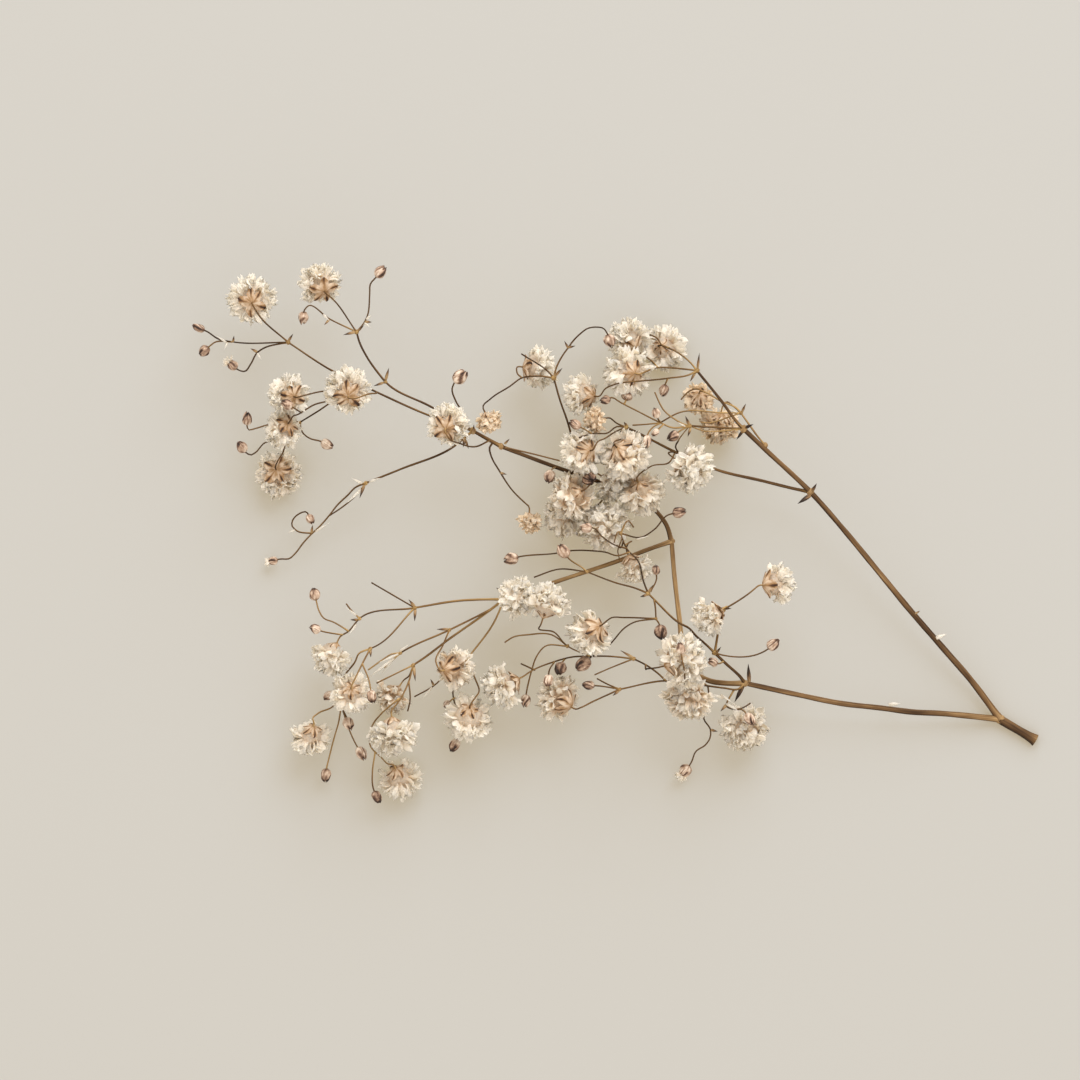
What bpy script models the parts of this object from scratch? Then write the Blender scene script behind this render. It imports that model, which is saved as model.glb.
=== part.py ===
"""A dried spray of double baby's breath, lying on a table.

One cut stub forks into two long bare stems. Thirteen branching sprays grow from them, with
paired bracts at the joints, ribbed buds and a five-lobed calyx behind each bloom. The white
petals of each bloom are a solid of their own, seated just in front of its calyx.

Places are in millimetres on a plan seen from above (x right, y up, z above the table).
"""
import math
import random
from collections import namedtuple

import bmesh
import bpy
import numpy as np

MM = 0.001
PLAN_CENTRE = np.array([2.73, 0.085, 0.0])   # middle of the spray's box on the plan
SEAT_GAP = 0.3                               # air between a spray's root and the stem that carries it
LAYER_PETALS = 6                             # petals round each layer of a bloom
CORE_RADIUS = 0.30                           # a bloom's heart, as a share of the bloom's radius
CORE_AHEAD = 0.55                            # calyx base to heart, as a share of the bloom's radius
CORE_CLEAR = 0.42                            # and a little more, which keeps the petals off the sepals
CENTRE_AHEAD = 0.86                          # calyx base to the middle of the bloom's outline
PETAL_THICKNESS = 0.62
OUTER_POLAR = 1.80                           # how far the outer petals' roots stand round from the tip
INNER_POLAR = 0.98                           # the same for the inner petals
HEART_POLAR = 0.30                           # and for the heart
OUTER_LIFT = 0.18                            # outer petals rise this much ahead of their roots
MODEL_BLOOM = 3.5                            # radius of the bloom that the calyx is measured on
FOOT_RADIUS = 0.42                           # the calyx at the pedicel
SEPAL_REACH = 2.15                           # sepal tips off the axis
VALLEY_REACH = 1.0                           # the notch between two sepals off the axis
SEPAL_AHEAD = 1.35                           # sepal tips ahead of the calyx base
VALLEY_AHEAD = 1.05                          # notches ahead of the calyx base
SLIVER = 0.01                                # edges shorter than this are closed up after a union
FLAT_ANGLE = math.radians(3.0)               # faces that meet at less than this become one
SIDES_BY_THICKNESS = ((0.52, 3), (0.82, 4), (1.25, 5), (9.0, 6))   # thinner stems get fewer sides

STEM_TAN = (0.36, 0.21, 0.09)
STEM_BROWN = (0.22, 0.12, 0.05)
PETAL_WHITE = (0.83, 0.78, 0.68)
PETAL_OCHRE = (0.62, 0.46, 0.26)

# Joints where stems meet, and the height of each above the table.
JOINTS = {
    "stub": (73.0, -34.5, 0.80),
    "fork": (67.0, -31.0, 1.15),
    "R2": (35.1, 7.0, 8.5),
    "R3": (23.9, 17.5, 11.0),
    "R1": (16.1, 27.2, 13.5),
    "R4": (23.5, 20.2, 8.5),
    "A4": (27.5, 14.8, 10.1),
    "N5": (14.9, 18.0, 12.3),
    "B1": (24.2, -24.9, 8.0),
    "C0": (12.0, -1.2, 3.0),
    "C1": (-16.5, 14.6, 10.5),
    "C3": (-21.2, 17.2, 11.5),
    "D1": (-16.0, -10.9, 6.5),
    "M1": (4.3, 17.8, 11.5),
    "X1": (-7.7, 26.0, 12.0),
    "V1": (-38.6, 24.3, 12.0),
    "U1": (-35.7, 25.3, 13.5),
    "U2": (-40.5, 33.6, 14.5),
    "L1": (-51.9, 31.9, 12.5),
    "K1": (-50.1, 18.6, 8.0),
    "W1": (-39.1, 8.5, 6.5),
    "P1": (-40.1, -14.1, 9.5),
    "P2": (-30.9, -12.3, 9.0),
    "P3": (-38.3, -19.1, 8.8),
    "Q1": (-31.2, -21.9, 7.0),
    "Q2": (-25.1, -16.0, 7.5),
    "Q3": (-33.3, -19.85, 8.0),
    "D2": (-22.1, -20.8, 5.0),
    "G1": (20.5, -12.6, 12.5),
    "G2": (19.1, -19.8, 10.8),
    "F1": (8.0, -9.9, 12.5),
    "F3": (9.3, -14.1, 11.5),
    "C2": (-2.2, -6.3, 13.5),
    "N7": (3.4, 0.1, 12.3),
    "E2": (5.6, -20.8, 9.3),
    "E3": (3.3, -25.9, 8.5),
    "N6": (-5.4, -18.7, 8.6),
}

# A bloom's middle, its radius, the plan place of its calyx base, and whether it faces up (1)
# or down (-1). How far it tips follows from how far the calyx stands off the middle.
Bloom = namedtuple("Bloom", "x y z radius calyx_x calyx_y side ochre", defaults=(False,))
BLOOMS = {
    1: Bloom(-58.1, 39.2, 12.0, 3.6, -57.9, 38.5, -1),
    2: Bloom(-47.0, 41.9, 13.0, 3.6, -45.9, 40.5, -1),
    3: Bloom(-42.0, 24.2, 16.5, 3.7, -41.8, 23.0, -1),
    4: Bloom(-52.3, 23.3, 12.0, 3.3, -51.0, 22.9, -1),
    5: Bloom(-25.1, 18.5, 16.5, 3.5, -25.6, 17.5, -1),
    6: Bloom(-18.4, 18.3, 15.5, 2.2, -19.3, 20.7, -1, True),
    7: Bloom(-11.7, 1.6, 8.0, 2.1, -11.8, 3.5, -1, True),
    8: Bloom(-9.6, 27.6, 7.5, 3.6, -12.6, 27.8, -1),
    9: Bloom(-3.2, 23.2, 10.5, 3.0, -1.15, 23.0, -1),
    10: Bloom(4.8, 32.6, 8.0, 2.7, 6.3, 30.6, 1),
    11: Bloom(4.4, 27.0, 12.4, 3.3, 7.3, 27.6, 1),
    12: Bloom(11.0, 31.1, 2.1, 3.0, 10.1, 31.3, -1),
    13: Bloom(16.4, 22.3, 5.5, 2.6, 16.6, 23.3, -1, True),
    14: Bloom(-1.3, 19.0, 13.0, 2.2, 0.5, 19.2, 1, True),
    15: Bloom(-3.3, 13.6, 12.5, 3.1, -1.8, 13.9, -1),
    16: Bloom(4.4, 12.3, 13.0, 3.2, 2.6, 14.9, 1),
    17: Bloom(15.6, 10.4, 12.0, 3.8, 12.8, 12.3, 1),
    18: Bloom(20.0, 17.5, 4.0, 3.2, 20.3, 20.0, -1, True),
    19: Bloom(-53.1, 16.9, 10.5, 3.1, -52.0, 18.3, -1),
    20: Bloom(-53.5, 9.6, 2.5, 3.7, -54.0, 10.7, -1),
    21: Bloom(-4.8, 6.3, 11.5, 2.9, -3.2, 7.1, -1),
    22: Bloom(-6.2, 2.8, 6.5, 3.1, -3.8, 3.4, 1),
    23: Bloom(0.6, 1.6, 9.5, 3.4, 2.0, -0.6, 1),
    24: Bloom(7.0, 6.8, 9.5, 3.0, 6.4, 8.5, -1),
    25: Bloom(2.0, 8.6, 9.0, 2.2, 0.0, 9.8, 1),
    26: Bloom(5.7, -6.0, 8.0, 2.9, 4.8, -3.6, -1),
    27: Bloom(-45.1, -21.0, 8.5, 3.4, -43.9, -18.3, 1),
    28: Bloom(-41.4, -26.8, 9.5, 3.4, -41.4, -25.8, -1),
    29: Bloom(-48.3, -34.3, 5.5, 3.4, -47.9, -32.2, -1),
    30: Bloom(-23.9, -22.2, 9.5, 3.5, -25.8, -22.6, -1),
    31: Bloom(-34.5, -34.1, 9.5, 4.0, -34.7, -30.6, 1),
    32: Bloom(-33.3, -41.2, 2.7, 3.7, -34.1, -39.3, -1),
    33: Bloom(-13.7, -10.5, 11.0, 2.9, -13.3, -11.3, 1),
    34: Bloom(-22.0, -30.9, 8.0, 3.6, -21.7, -29.1, -1),
    35: Bloom(-16.2, -25.5, 9.0, 3.3, -13.1, -23.9, 1),
    36: Bloom(-7.2, -28.0, 8.0, 3.6, -5.0, -28.6, -1),
    37: Bloom(-2.0, -16.6, 12.5, 3.6, -0.2, -15.4, -1),
    38: Bloom(18.1, -13.8, 15.5, 3.0, 20.1, -12.6, 1),
    39: Bloom(29.9, -8.2, 14.0, 3.4, 27.3, -8.5, -1),
    40: Bloom(13.3, -20.8, 17.0, 3.8, 8.7, -22.2, 1),
    41: Bloom(14.7, -27.6, 12.0, 3.7, 15.2, -24.9, 1),
    42: Bloom(24.3, -33.0, 6.0, 3.9, 23.8, -30.6, 1),
    43: Bloom(-8.7, -11.2, 14.5, 3.2, -9.5, -13.9, 1),
    44: Bloom(-35.0, -27.7, 4.0, 3.0, -33.6, -25.6, 1),
}
RESTING = ("main_stem", "bloom_12", "bloom_20", "bloom_32")


def unit(vector):
    return vector / np.linalg.norm(vector)


def bloom_axis(bloom):
    """The way a bloom faces: from its calyx on the plan to its middle, tipped up or down."""
    flat = np.array([bloom.x - bloom.calyx_x, bloom.y - bloom.calyx_y])
    reach = CENTRE_AHEAD * bloom.radius
    length = np.linalg.norm(flat)
    if length > reach:
        flat = flat * reach / length
    rise = math.sqrt(max(reach * reach - flat @ flat, 0.0))
    return unit(np.array([flat[0], flat[1], bloom.side * rise]))


def bloom_base(bloom):
    """The place where the pedicel meets the calyx."""
    middle = np.array([bloom.x, bloom.y, bloom.z])
    return middle - CENTRE_AHEAD * bloom.radius * bloom_axis(bloom)


def frame_along(axis):
    """Two directions square to the axis and to each other."""
    guide = np.array([0.0, 0.0, 1.0]) if abs(axis[2]) < 0.9 else np.array([1.0, 0.0, 0.0])
    side = unit(np.cross(guide, axis))
    return side, np.cross(axis, side)


def ring_points(centre, axis, radii, turn=0.0):
    """One point for each radius, evenly round the axis."""
    side, up = frame_along(axis)
    points = []
    for number, radius in enumerate(radii):
        angle = turn + 2.0 * math.pi * number / len(radii)
        points.append(centre + radius * (math.cos(angle) * side + math.sin(angle) * up))
    return points


def skin(rings, tip=None, tail=None):
    """Faces that join rings of equal count; a tip or tail point closes an end, or else a flat cap does."""
    count = len(rings[0])
    vertices = [point for ring in rings for point in ring]
    faces = []
    for row in range(len(rings) - 1):
        for column in range(count):
            after = (column + 1) % count
            low = row * count
            faces.append((low + column, low + after, low + count + after, low + count + column))
    last = (len(rings) - 1) * count
    if tail is None:
        faces.append(tuple(reversed(range(count))))
    else:
        vertices.append(tail)
        for column in range(count):
            faces.append((len(vertices) - 1, (column + 1) % count, column))
    if tip is None:
        faces.append(tuple(range(last, last + count)))
    else:
        vertices.append(tip)
        for column in range(count):
            faces.append((last + column, last + (column + 1) % count, len(vertices) - 1))
    return vertices, faces


def flare(foot, rim, tip):
    """Faces from a ring of five to a ring of ten, the five ribs in line with the foot's corners."""
    vertices = foot + rim + [tip]
    faces = [tuple(reversed(range(5)))]
    for number in range(5):
        after = (number + 1) % 5
        rib = 5 + 2 * number
        valley = rib + 1
        next_rib = 5 + 2 * after
        faces += [(number, valley, rib), (number, after, valley), (after, next_rib, valley)]
        faces += [(rib, valley, 15), (valley, next_rib, 15)]
    return vertices, faces


def resolve(points):
    """Joint names become places, and heights that aren't given run evenly between those that are."""
    places = [np.array(JOINTS[point] if isinstance(point, str) else point, dtype=float) for point in points]
    known = [number for number, place in enumerate(places) if len(place) == 3]
    run = [0.0]
    for before, place in zip(places, places[1:]):
        run.append(run[-1] + np.linalg.norm(place[:2] - before[:2]))
    heights = np.interp(run, [run[number] for number in known], [places[number][2] for number in known])
    return [np.array([place[0], place[1], height]) for place, height in zip(places, heights)]


def tube(path, thick, thin):
    """A tapering stem along a bent path, its sections carried round each bend without a twist."""
    sides = next(count for limit, count in SIDES_BY_THICKNESS if thick <= limit)
    legs = [unit(after - before) for before, after in zip(path, path[1:])]
    ways = [legs[0]] + [unit(one + two) for one, two in zip(legs, legs[1:])] + [legs[-1]]
    side, _ = frame_along(ways[0])
    rings = []
    for number, (point, way) in enumerate(zip(path, ways)):
        side = unit(side - way * (side @ way))
        up = np.cross(way, side)
        radius = 0.5 * (thick + (thin - thick) * number / (len(path) - 1)) * (1.15 if sides == 3 else 1.0)
        ring = []
        for corner in range(sides):
            angle = 2.0 * math.pi * (corner + 0.3) / sides
            ring.append(point + radius * (math.cos(angle) * side + math.sin(angle) * up))
        rings.append(ring)
    return skin(rings)


def knuckle(place, radius):
    """The swollen joint of a stem: a small faceted ball."""
    axis = unit(np.array([0.3, 0.2, 0.93]))
    belly = ring_points(place, axis, [radius] * 5, 0.2)
    return skin([belly], place + axis * radius, place - axis * radius)


def bract(root, tip, width):
    """A small pointed leaf: a flattened blade with a rib down each face."""
    axis = unit(tip - root)
    length = np.linalg.norm(tip - root)
    side, up = frame_along(axis)
    rings = []
    for share, wide, deep in ((0.0, 0.55, 0.34), (0.45, 1.0, 0.36)):
        centre = root + axis * length * share
        rings.append([centre + side * width * wide / 2, centre + up * deep,
                      centre - side * width * wide / 2, centre - up * deep])
    return skin(rings, tip)


def bud(place, axis, radius, length):
    """A closed bud: an egg with five ribs that draw together at its tip."""
    foot = ring_points(place - axis * length * 0.8, axis, [radius * 0.6] * 5)
    belly = ring_points(place + axis * length * 0.05, axis, [radius * 1.08] * 5)
    return skin([foot, belly], place + axis * length)


def calyx(bloom):
    """A cup on the pedicel that opens into five pointed sepals, spread flat behind the petals."""
    base = bloom_base(bloom)
    axis = bloom_axis(bloom)
    size = bloom.radius / MODEL_BLOOM
    foot = ring_points(base - axis * 0.1, axis, [FOOT_RADIUS * size] * 5)
    rim = ring_points(base, axis, [SEPAL_REACH * size, VALLEY_REACH * size] * 5)
    ahead = [SEPAL_AHEAD, VALLEY_AHEAD] * 5
    rim = [point + axis * size * far for point, far in zip(rim, ahead)]
    return flare(foot, rim, base + axis * 1.12 * size)


def petal_head(bloom, seed):
    """Two layers of petals and a heart, drawn out of the faces of one small core.

    The core is a ball cut square behind. Each layer is a band of it, and each face of the band is
    drawn straight out into a petal that widens to its tip; the petals of one layer stand over the
    gaps of the other. The faces round the pole are drawn out into the heart.
    """
    draw = random.Random(seed)
    axis = bloom_axis(bloom)
    side, up = frame_along(axis)
    core = CORE_RADIUS * bloom.radius
    centre = bloom_base(bloom) + axis * (CORE_AHEAD * bloom.radius + CORE_CLEAR)
    half = PETAL_THICKNESS / 2

    def direction(polar, azimuth):
        around = math.cos(azimuth) * side + math.sin(azimuth) * up
        return math.sin(polar) * around + math.cos(polar) * axis

    step = 2.0 * math.pi / LAYER_PETALS
    start = draw.uniform(0.0, step)
    band = 2.0 * half / core
    polars = [OUTER_POLAR + band / 2, OUTER_POLAR - band / 2, INNER_POLAR + band / 2, INNER_POLAR - band / 2]
    offsets = [start, start, start + step / 2, start + step / 2]
    vertices = []
    for polar, offset in zip(polars, offsets):
        for number in range(LAYER_PETALS):
            vertices.append(centre + core * direction(polar, offset + (number - 0.5) * step))
    faces = [tuple(reversed(range(LAYER_PETALS)))]

    def pull(root, way, far, wide, tilt):
        """Draw a root face out along its way to a tip that is wide across and as thick as the root."""
        across = unit(np.cross(axis, way)) if abs(way @ axis) < 0.999 else side
        lift = unit(np.cross(way, across))
        tip = centre + way * far
        first = len(vertices)
        for sign_across, sign_lift in ((-1, -1), (1, -1), (1, 1), (-1, 1)):
            corner = across * sign_across * wide + lift * sign_lift * half
            vertices.append(tip + corner + way * far * tilt * sign_across)
        for number in range(4):
            after = (number + 1) % 4
            faces.append((root[number], root[after], first + after, first + number))
        faces.append((first, first + 1, first + 2, first + 3))

    def layer(low, high, polar, offset, reach, width):
        for number in range(LAYER_PETALS):
            after = (number + 1) % LAYER_PETALS
            root = (low + number, low + after, high + after, high + number)
            off_polar = draw.uniform(-0.09, 0.09)
            off_around = draw.uniform(-0.07, 0.07)
            way = direction(polar + off_polar, offset + number * step + off_around)
            far = bloom.radius * reach * draw.uniform(0.88, 1.06)
            wide = bloom.radius * width * draw.uniform(0.85, 1.0)
            pull(root, way, far, wide, draw.uniform(-0.09, 0.09))

    layer(0, LAYER_PETALS, OUTER_POLAR - OUTER_LIFT, start, 0.98, 0.38)
    for number in range(LAYER_PETALS):
        after = (number + 1) % LAYER_PETALS
        low = LAYER_PETALS
        high = 2 * LAYER_PETALS
        faces.append((low + number, low + after, high + number))
        faces.append((low + after, high + after, high + number))
    layer(2 * LAYER_PETALS, 3 * LAYER_PETALS, INNER_POLAR, start + step / 2, 1.0, 0.31)

    pole = len(vertices)
    vertices.append(centre + core * axis)
    ring = 3 * LAYER_PETALS
    for number in range(0, LAYER_PETALS, 2):
        root = (ring + number, ring + number + 1, ring + (number + 2) % LAYER_PETALS, pole)
        way = direction(HEART_POLAR, start + step / 2 + (number + 0.5) * step)
        pull(root, way, bloom.radius * draw.uniform(0.86, 1.02), 0.17 * bloom.radius, 0.0)
    return vertices, faces


def material(name, colour, roughness):
    finish = bpy.data.materials.new(name)
    finish.use_nodes = True
    shader = finish.node_tree.nodes["Principled BSDF"]
    shader.inputs["Base Color"].default_value = (*colour, 1.0)
    shader.inputs["Roughness"].default_value = roughness
    shader.inputs["Metallic"].default_value = 0.0
    return finish


def add_object(name, shape):
    vertices, faces = shape
    mesh = bpy.data.meshes.new(name)
    mesh.from_pydata([tuple((vertex - PLAN_CENTRE) * MM) for vertex in vertices], [], faces)
    mesh.validate()
    thing = bpy.data.objects.new(name, mesh)
    bpy.context.scene.collection.objects.link(thing)
    return thing


def apply_boolean(thing, operation, operand=None, collection=None):
    """Run one Boolean on an object and keep its result as the object's mesh.

    The exact solver leaves open seams where many thin twigs cross, so the manifold one is used.
    """
    modifier = thing.modifiers.new("boolean", "BOOLEAN")
    modifier.operation = operation
    modifier.solver = "MANIFOLD"
    if collection is None:
        modifier.object = operand
    else:
        modifier.operand_type = "COLLECTION"
        modifier.collection = collection
    bpy.context.view_layer.update()
    result = bpy.data.meshes.new_from_object(thing.evaluated_get(bpy.context.evaluated_depsgraph_get()))
    thing.modifiers.clear()
    thing.data = result


def weld_slivers(thing):
    """Close the hair-thin faces that a union leaves, and join the flat ones that it splits."""
    work = bmesh.new()
    work.from_mesh(thing.data)
    bmesh.ops.triangulate(work, faces=work.faces[:])
    bmesh.ops.remove_doubles(work, verts=work.verts[:], dist=SLIVER * MM)
    bmesh.ops.dissolve_degenerate(work, edges=work.edges[:], dist=SLIVER * MM)
    bmesh.ops.dissolve_limit(work, angle_limit=FLAT_ANGLE, verts=work.verts[:], edges=work.edges[:])
    bmesh.ops.triangulate(work, faces=work.faces[:])
    work.to_mesh(thing.data)
    work.free()


def fuse(name, shapes):
    """Join the shapes of one spray into one solid."""
    thing = add_object(name, shapes[0])
    repeats = bpy.data.collections.new(name + "_repeats")
    bpy.context.scene.collection.children.link(repeats)
    for number, shape in enumerate(shapes[1:]):
        piece = add_object(f"{name}_{number}", shape)
        bpy.context.scene.collection.objects.unlink(piece)
        repeats.objects.link(piece)
    apply_boolean(thing, "UNION", collection=repeats)
    for piece in list(repeats.objects):
        bpy.data.objects.remove(piece)
    bpy.data.collections.remove(repeats)
    weld_slivers(thing)
    return thing


def flatten_below_table(thing):
    """Cut away what would sink into the table, which leaves a small flat spot to rest on."""
    side = 300.0
    corners = ring_points(np.array([0.0, 0.0, -5.0]), np.array([0.0, 0.0, 1.0]), [side] * 4)
    tops = ring_points(np.array([0.0, 0.0, 0.0]), np.array([0.0, 0.0, 1.0]), [side] * 4)
    cutter = add_object("table_cutter", skin([corners, tops]))
    cutter.hide_render = True
    cutter.display_type = "WIRE"
    apply_boolean(thing, "DIFFERENCE", operand=cutter)
    bpy.data.objects.remove(cutter)


class Spray:
    """Collects the shapes of one spray in millimetres."""

    def __init__(self, name):
        self.name = name
        self.shapes = []

    def twig(self, thick, thin, *points, seat=None, bud_size=None, bud_long=1.25, bloom=None):
        """A stem through the points, which may end in a bud or in a bloom's calyx.

        A spray that grows from another one starts clear of that joint: seat is the joint's radius.
        """
        path = resolve(points) if bloom is None else resolve(points + self.approach(bloom))
        if seat is not None:
            path[0] = path[0] + unit(path[1] - path[0]) * (seat + SEAT_GAP)
        if bud_size is not None:
            axis = unit(path[-1] - path[-2])
            self.shapes.append(tube(path[:-1] + [path[-1] - axis * bud_size * 0.6], thick, thin))
            self.shapes.append(bud(path[-1], axis, bud_size, bud_size * bud_long))
            return
        self.shapes.append(tube(path, thick, thin))
        if bloom is not None:
            self.shapes.append(calyx(BLOOMS[bloom]))

    def approach(self, number):
        """The last two points of a pedicel: one behind the calyx, in line with the bloom, and its base."""
        base = bloom_base(BLOOMS[number])
        axis = bloom_axis(BLOOMS[number])
        return tuple(base - axis * 1.2), tuple(base + axis * 0.25)

    def joint(self, *names, radius=0.6):
        for name in names:
            self.shapes.append(knuckle(np.array(JOINTS[name]), radius))

    def bract(self, root, tip, width=0.9):
        self.shapes.append(bract(np.array(root), np.array(tip), width))


def main_stem():
    part = Spray("main_stem")
    part.twig(1.9, 1.8, "stub", "fork")
    part.twig(1.5, 1.15, "fork", (61.7, -24), (58.6, -21.1), (51.8, -12.7), (47, -6.9), (41.2, 0.1), "R2",
              (27.3, 14.3), "R3")
    part.twig(1.5, 1.3, "fork", (56.6, -30), (52.5, -29.8), (47, -29.1), (40.2, -28.3), (33.3, -26.9), "B1")
    part.twig(1.2, 1.0, "B1", (21.1, -24.8, 7.3), (19.5, -23.7), (17.6, -24, 6.0), (15, -19, 4.9),
              (13.4, -14.3, 4.2), (12.4, -6.3, 3.3), "C0")
    part.twig(1.0, 0.9, "C0", (11.2, 1.4, 3.4), (8.5, 4.7, 4.2), (1, 8.3, 6.0), (-6.3, 10.8, 8.0), "C1")
    part.twig(1.0, 0.9, "C0", (8, -2.6), (3.3, -4.4, 3.6), (-1.7, -6.1), (-8.3, -8.3, 5.0), "D1")
    part.twig(0.5, 0.45, "C1", (-11, 13.3, 10.5), (-5.7, 11.95, 10.0))
    part.twig(0.5, 0.45, (-12.5, -9.7, 5.7), (-12.6, -10.9, 6.4), bloom=33)
    part.twig(0.5, 0.45, (-1.5, 9.1, 6.6), (-1.6, 8.9, 10), (-1.7, 8.2, 13.2), bloom=21)
    part.twig(0.5, 0.45, (-2.5, 9.4, 6.8), (-1.6, 10.3, 8.4), bloom=25)
    part.twig(0.5, 0.45, (1, 8.3, 6.0), (0.2, 5.4, 4.6), (-1.2, 4.3, 4.4), bloom=22)
    part.twig(0.45, 0.45, (-7.3, 11.2, 8.3), (-8.1, 10.7, 9.4), (-8.4, 9.6, 10.0), bud_size=1.1)
    part.joint("fork", radius=1.1)
    part.joint("B1", "R2", "R3", radius=0.85)
    part.joint("C1", "D1", "A4", radius=0.7)
    part.joint("C0", radius=0.75)
    part.bract((35.1, 6.5, 8.9), (32.8, 4.9, 9.4), 1.3)
    part.bract((35.4, 7.2, 8.9), (36.3, 8.6, 9.9), 1.0)
    part.bract((24.2, 17.7, 11.4), (25.6, 18.3, 12.7), 1.0)
    part.bract((23.8, 17.2, 10.8), (22.8, 15.8, 10.2), 0.9)
    part.bract((24.9, -24.7, 8.2), (25.2, -21.3, 9.0), 1.1)
    part.bract((23.9, -25.3, 7.6), (22.4, -28.3, 7.2), 1.1)
    return part


def spray_top_right():
    part = Spray("spray_top_right")
    part.twig(0.75, 0.65, "R3", (23, 18.4, 12.0), (20, 22.4), "R1", seat=0.85)
    part.twig(0.5, 0.45, "R1", (15.6, 27.9), (11.5, 31, 8.8), (10.4, 31.4, 7.8), (9.5, 32.7, 7.6),
              (8.25, 33.3, 7.4))
    part.twig(0.5, 0.45, (11.5, 31, 8.8), (10.6, 31.4, 7.9), bloom=12)
    part.twig(0.5, 0.45, "R1", (14.4, 27.4), (9.6, 27.7, 12.3), bloom=11)
    part.twig(0.5, 0.45, (9.6, 27.7, 12.3), (8.4, 29.0, 11), bloom=10)
    part.twig(0.5, 0.45, "R1", (15.3, 26.7), (11.3, 25.9, 15), (6.5, 25.4, 16.1), (2.9, 25.1, 15.8),
              (0.2, 24.6, 13.9), bloom=9)
    part.twig(0.45, 0.45, (11.3, 25.9, 15), (10.9, 25.1, 14.4), (10.6, 23.9, 13.4), bud_size=0.75,
              bud_long=1.8)
    part.joint("R1", radius=0.6)
    part.bract((16.2, 27.5, 13.8), (16.5, 30.1, 14.6), 0.8)
    return part


def spray_right():
    part = Spray("spray_right")
    part.twig(0.55, 0.5, "A4", (26.2, 16.4, 9.0), (25, 18.1, 8.6), "R4", seat=0.7)
    part.twig(0.5, 0.45, "R4", (23, 20.8), (20.1, 22.2, 9.2), (17.6, 23.6, 9.4), bloom=13)
    part.twig(0.45, 0.45, (17.6, 23.6, 9.4), (15.9, 24.2, 9.6), (14.7, 23.7), (13.5, 22.4, 9.0))
    part.twig(0.45, 0.45, "R4", (20.7, 20.2, 9.2), (13.1, 20.2, 9.6), (10.1, 18.6, 9.6))
    part.twig(0.45, 0.45, "R4", (21.75, 19.6, 9.0), (17.8, 18.5, 9.2), (16.8, 18.6, 9.2))
    part.twig(0.45, 0.45, "R4", (22.4, 21.2, 7.4), (21, 22, 5.8), bloom=18)
    return part


def spray_top_centre():
    part = Spray("spray_top_centre")
    part.twig(0.6, 0.55, "R3", (22, 17.6, 10.9), (18.5, 17.8, 11.8), "N5", seat=0.85)
    part.twig(0.5, 0.45, "N5", (14.4, 18.1), (12.3, 19.2, 13), (10.6, 20.6), (9.75, 22.1),
              (9.1, 23.6, 13.4))
    part.twig(0.5, 0.45, "N5", (12, 17.7), (10.1, 18.5, 13.0), (5.9, 20.6), (3.2, 22, 13.5), (2, 22.7),
              (0.9, 22.3, 13.8), bud_size=0.85)
    part.twig(0.45, 0.45, (4.0, 21.6, 13.4), (4.3, 22.2, 13.3), (4.6, 23.2, 12.6), bud_size=1.1)
    part.twig(0.45, 0.45, "N5", (13.5, 17.3, 12.3), (12.2, 16.3, 12.6), bud_size=1.0)
    part.twig(0.45, 0.45, (10.6, 18.3, 12.9), (9.9, 17.6, 13.4), (9.2, 16.9, 13.6), bud_size=0.7)
    part.twig(0.45, 0.45, (10.1, 18.5, 13.0), (8.6, 17.6, 13.9), (7.9, 16.5), (7.8, 15.4, 14.2),
              bud_size=0.8, bud_long=1.7)
    part.twig(0.45, 0.45, (10.1, 18.5, 13.0), (9.6, 19.2, 13.8), (9.3, 20.1, 14.5), bud_size=0.8,
              bud_long=1.5)
    part.twig(0.45, 0.45, (10.1, 18.5, 13.0), (7, 18.2, 13.5), (5.4, 18.1, 13.8))
    part.joint("N5", radius=0.55)
    part.bract((14.8, 18.2, 12.6), (14.2, 19.6, 13.3), 0.9)
    return part


def spray_side():
    part = Spray("spray_side")
    part.twig(0.8, 0.6, "R2", (33.6, 6.6, 7.6), (27, 8.7, 7.7), (19.3, 10.8, 7.5), (15.9, 12.2, 7.6),
              (13.8, 13.1, 8.0), (5.8, 17.1, 10.8), "M1", seat=1.0)
    part.twig(0.45, 0.45, "M1", (2.9, 17.9, 12), (1.2, 16.8, 13.5), (-1.4, 16.7, 14.8), (-3.5, 16, 15.8))
    part.twig(0.45, 0.45, (-1.4, 16.7, 14.8), (-2.6, 17.4, 15.6), (-4.1, 18.2, 16.0), bud_size=0.85,
              bud_long=1.5)
    part.twig(0.45, 0.45, "M1", (2.7, 18.5, 12.2), (2.2, 18.9, 12.8), bloom=14)
    part.twig(0.45, 0.45, "M1", (2.5, 17), (0.8, 15.9, 14), (-0.6, 15.1, 15.8), bloom=15)
    part.twig(0.45, 0.45, (5.8, 17.1, 10.8), (3.9, 16, 12), bloom=16)
    part.twig(0.5, 0.45, (13.5, 13.2, 8.1), (12.0, 13.7, 9.6), (11.4, 13.4, 11.2), bloom=17)
    part.twig(0.45, 0.45, (12.6, 13.7, 8.4), (11.6, 12, 9.8), (8.35, 11.2, 12.4), bloom=24)
    part.twig(0.45, 0.45, (13.2, 13.4, 8.2), (12.6, 14.6, 9.4), (13.1, 15.6, 10.4))
    part.joint("M1", radius=0.6)
    part.bract((4.2, 17.6, 11.8), (3.2, 16.9, 12.3), 0.9)
    return part


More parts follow.
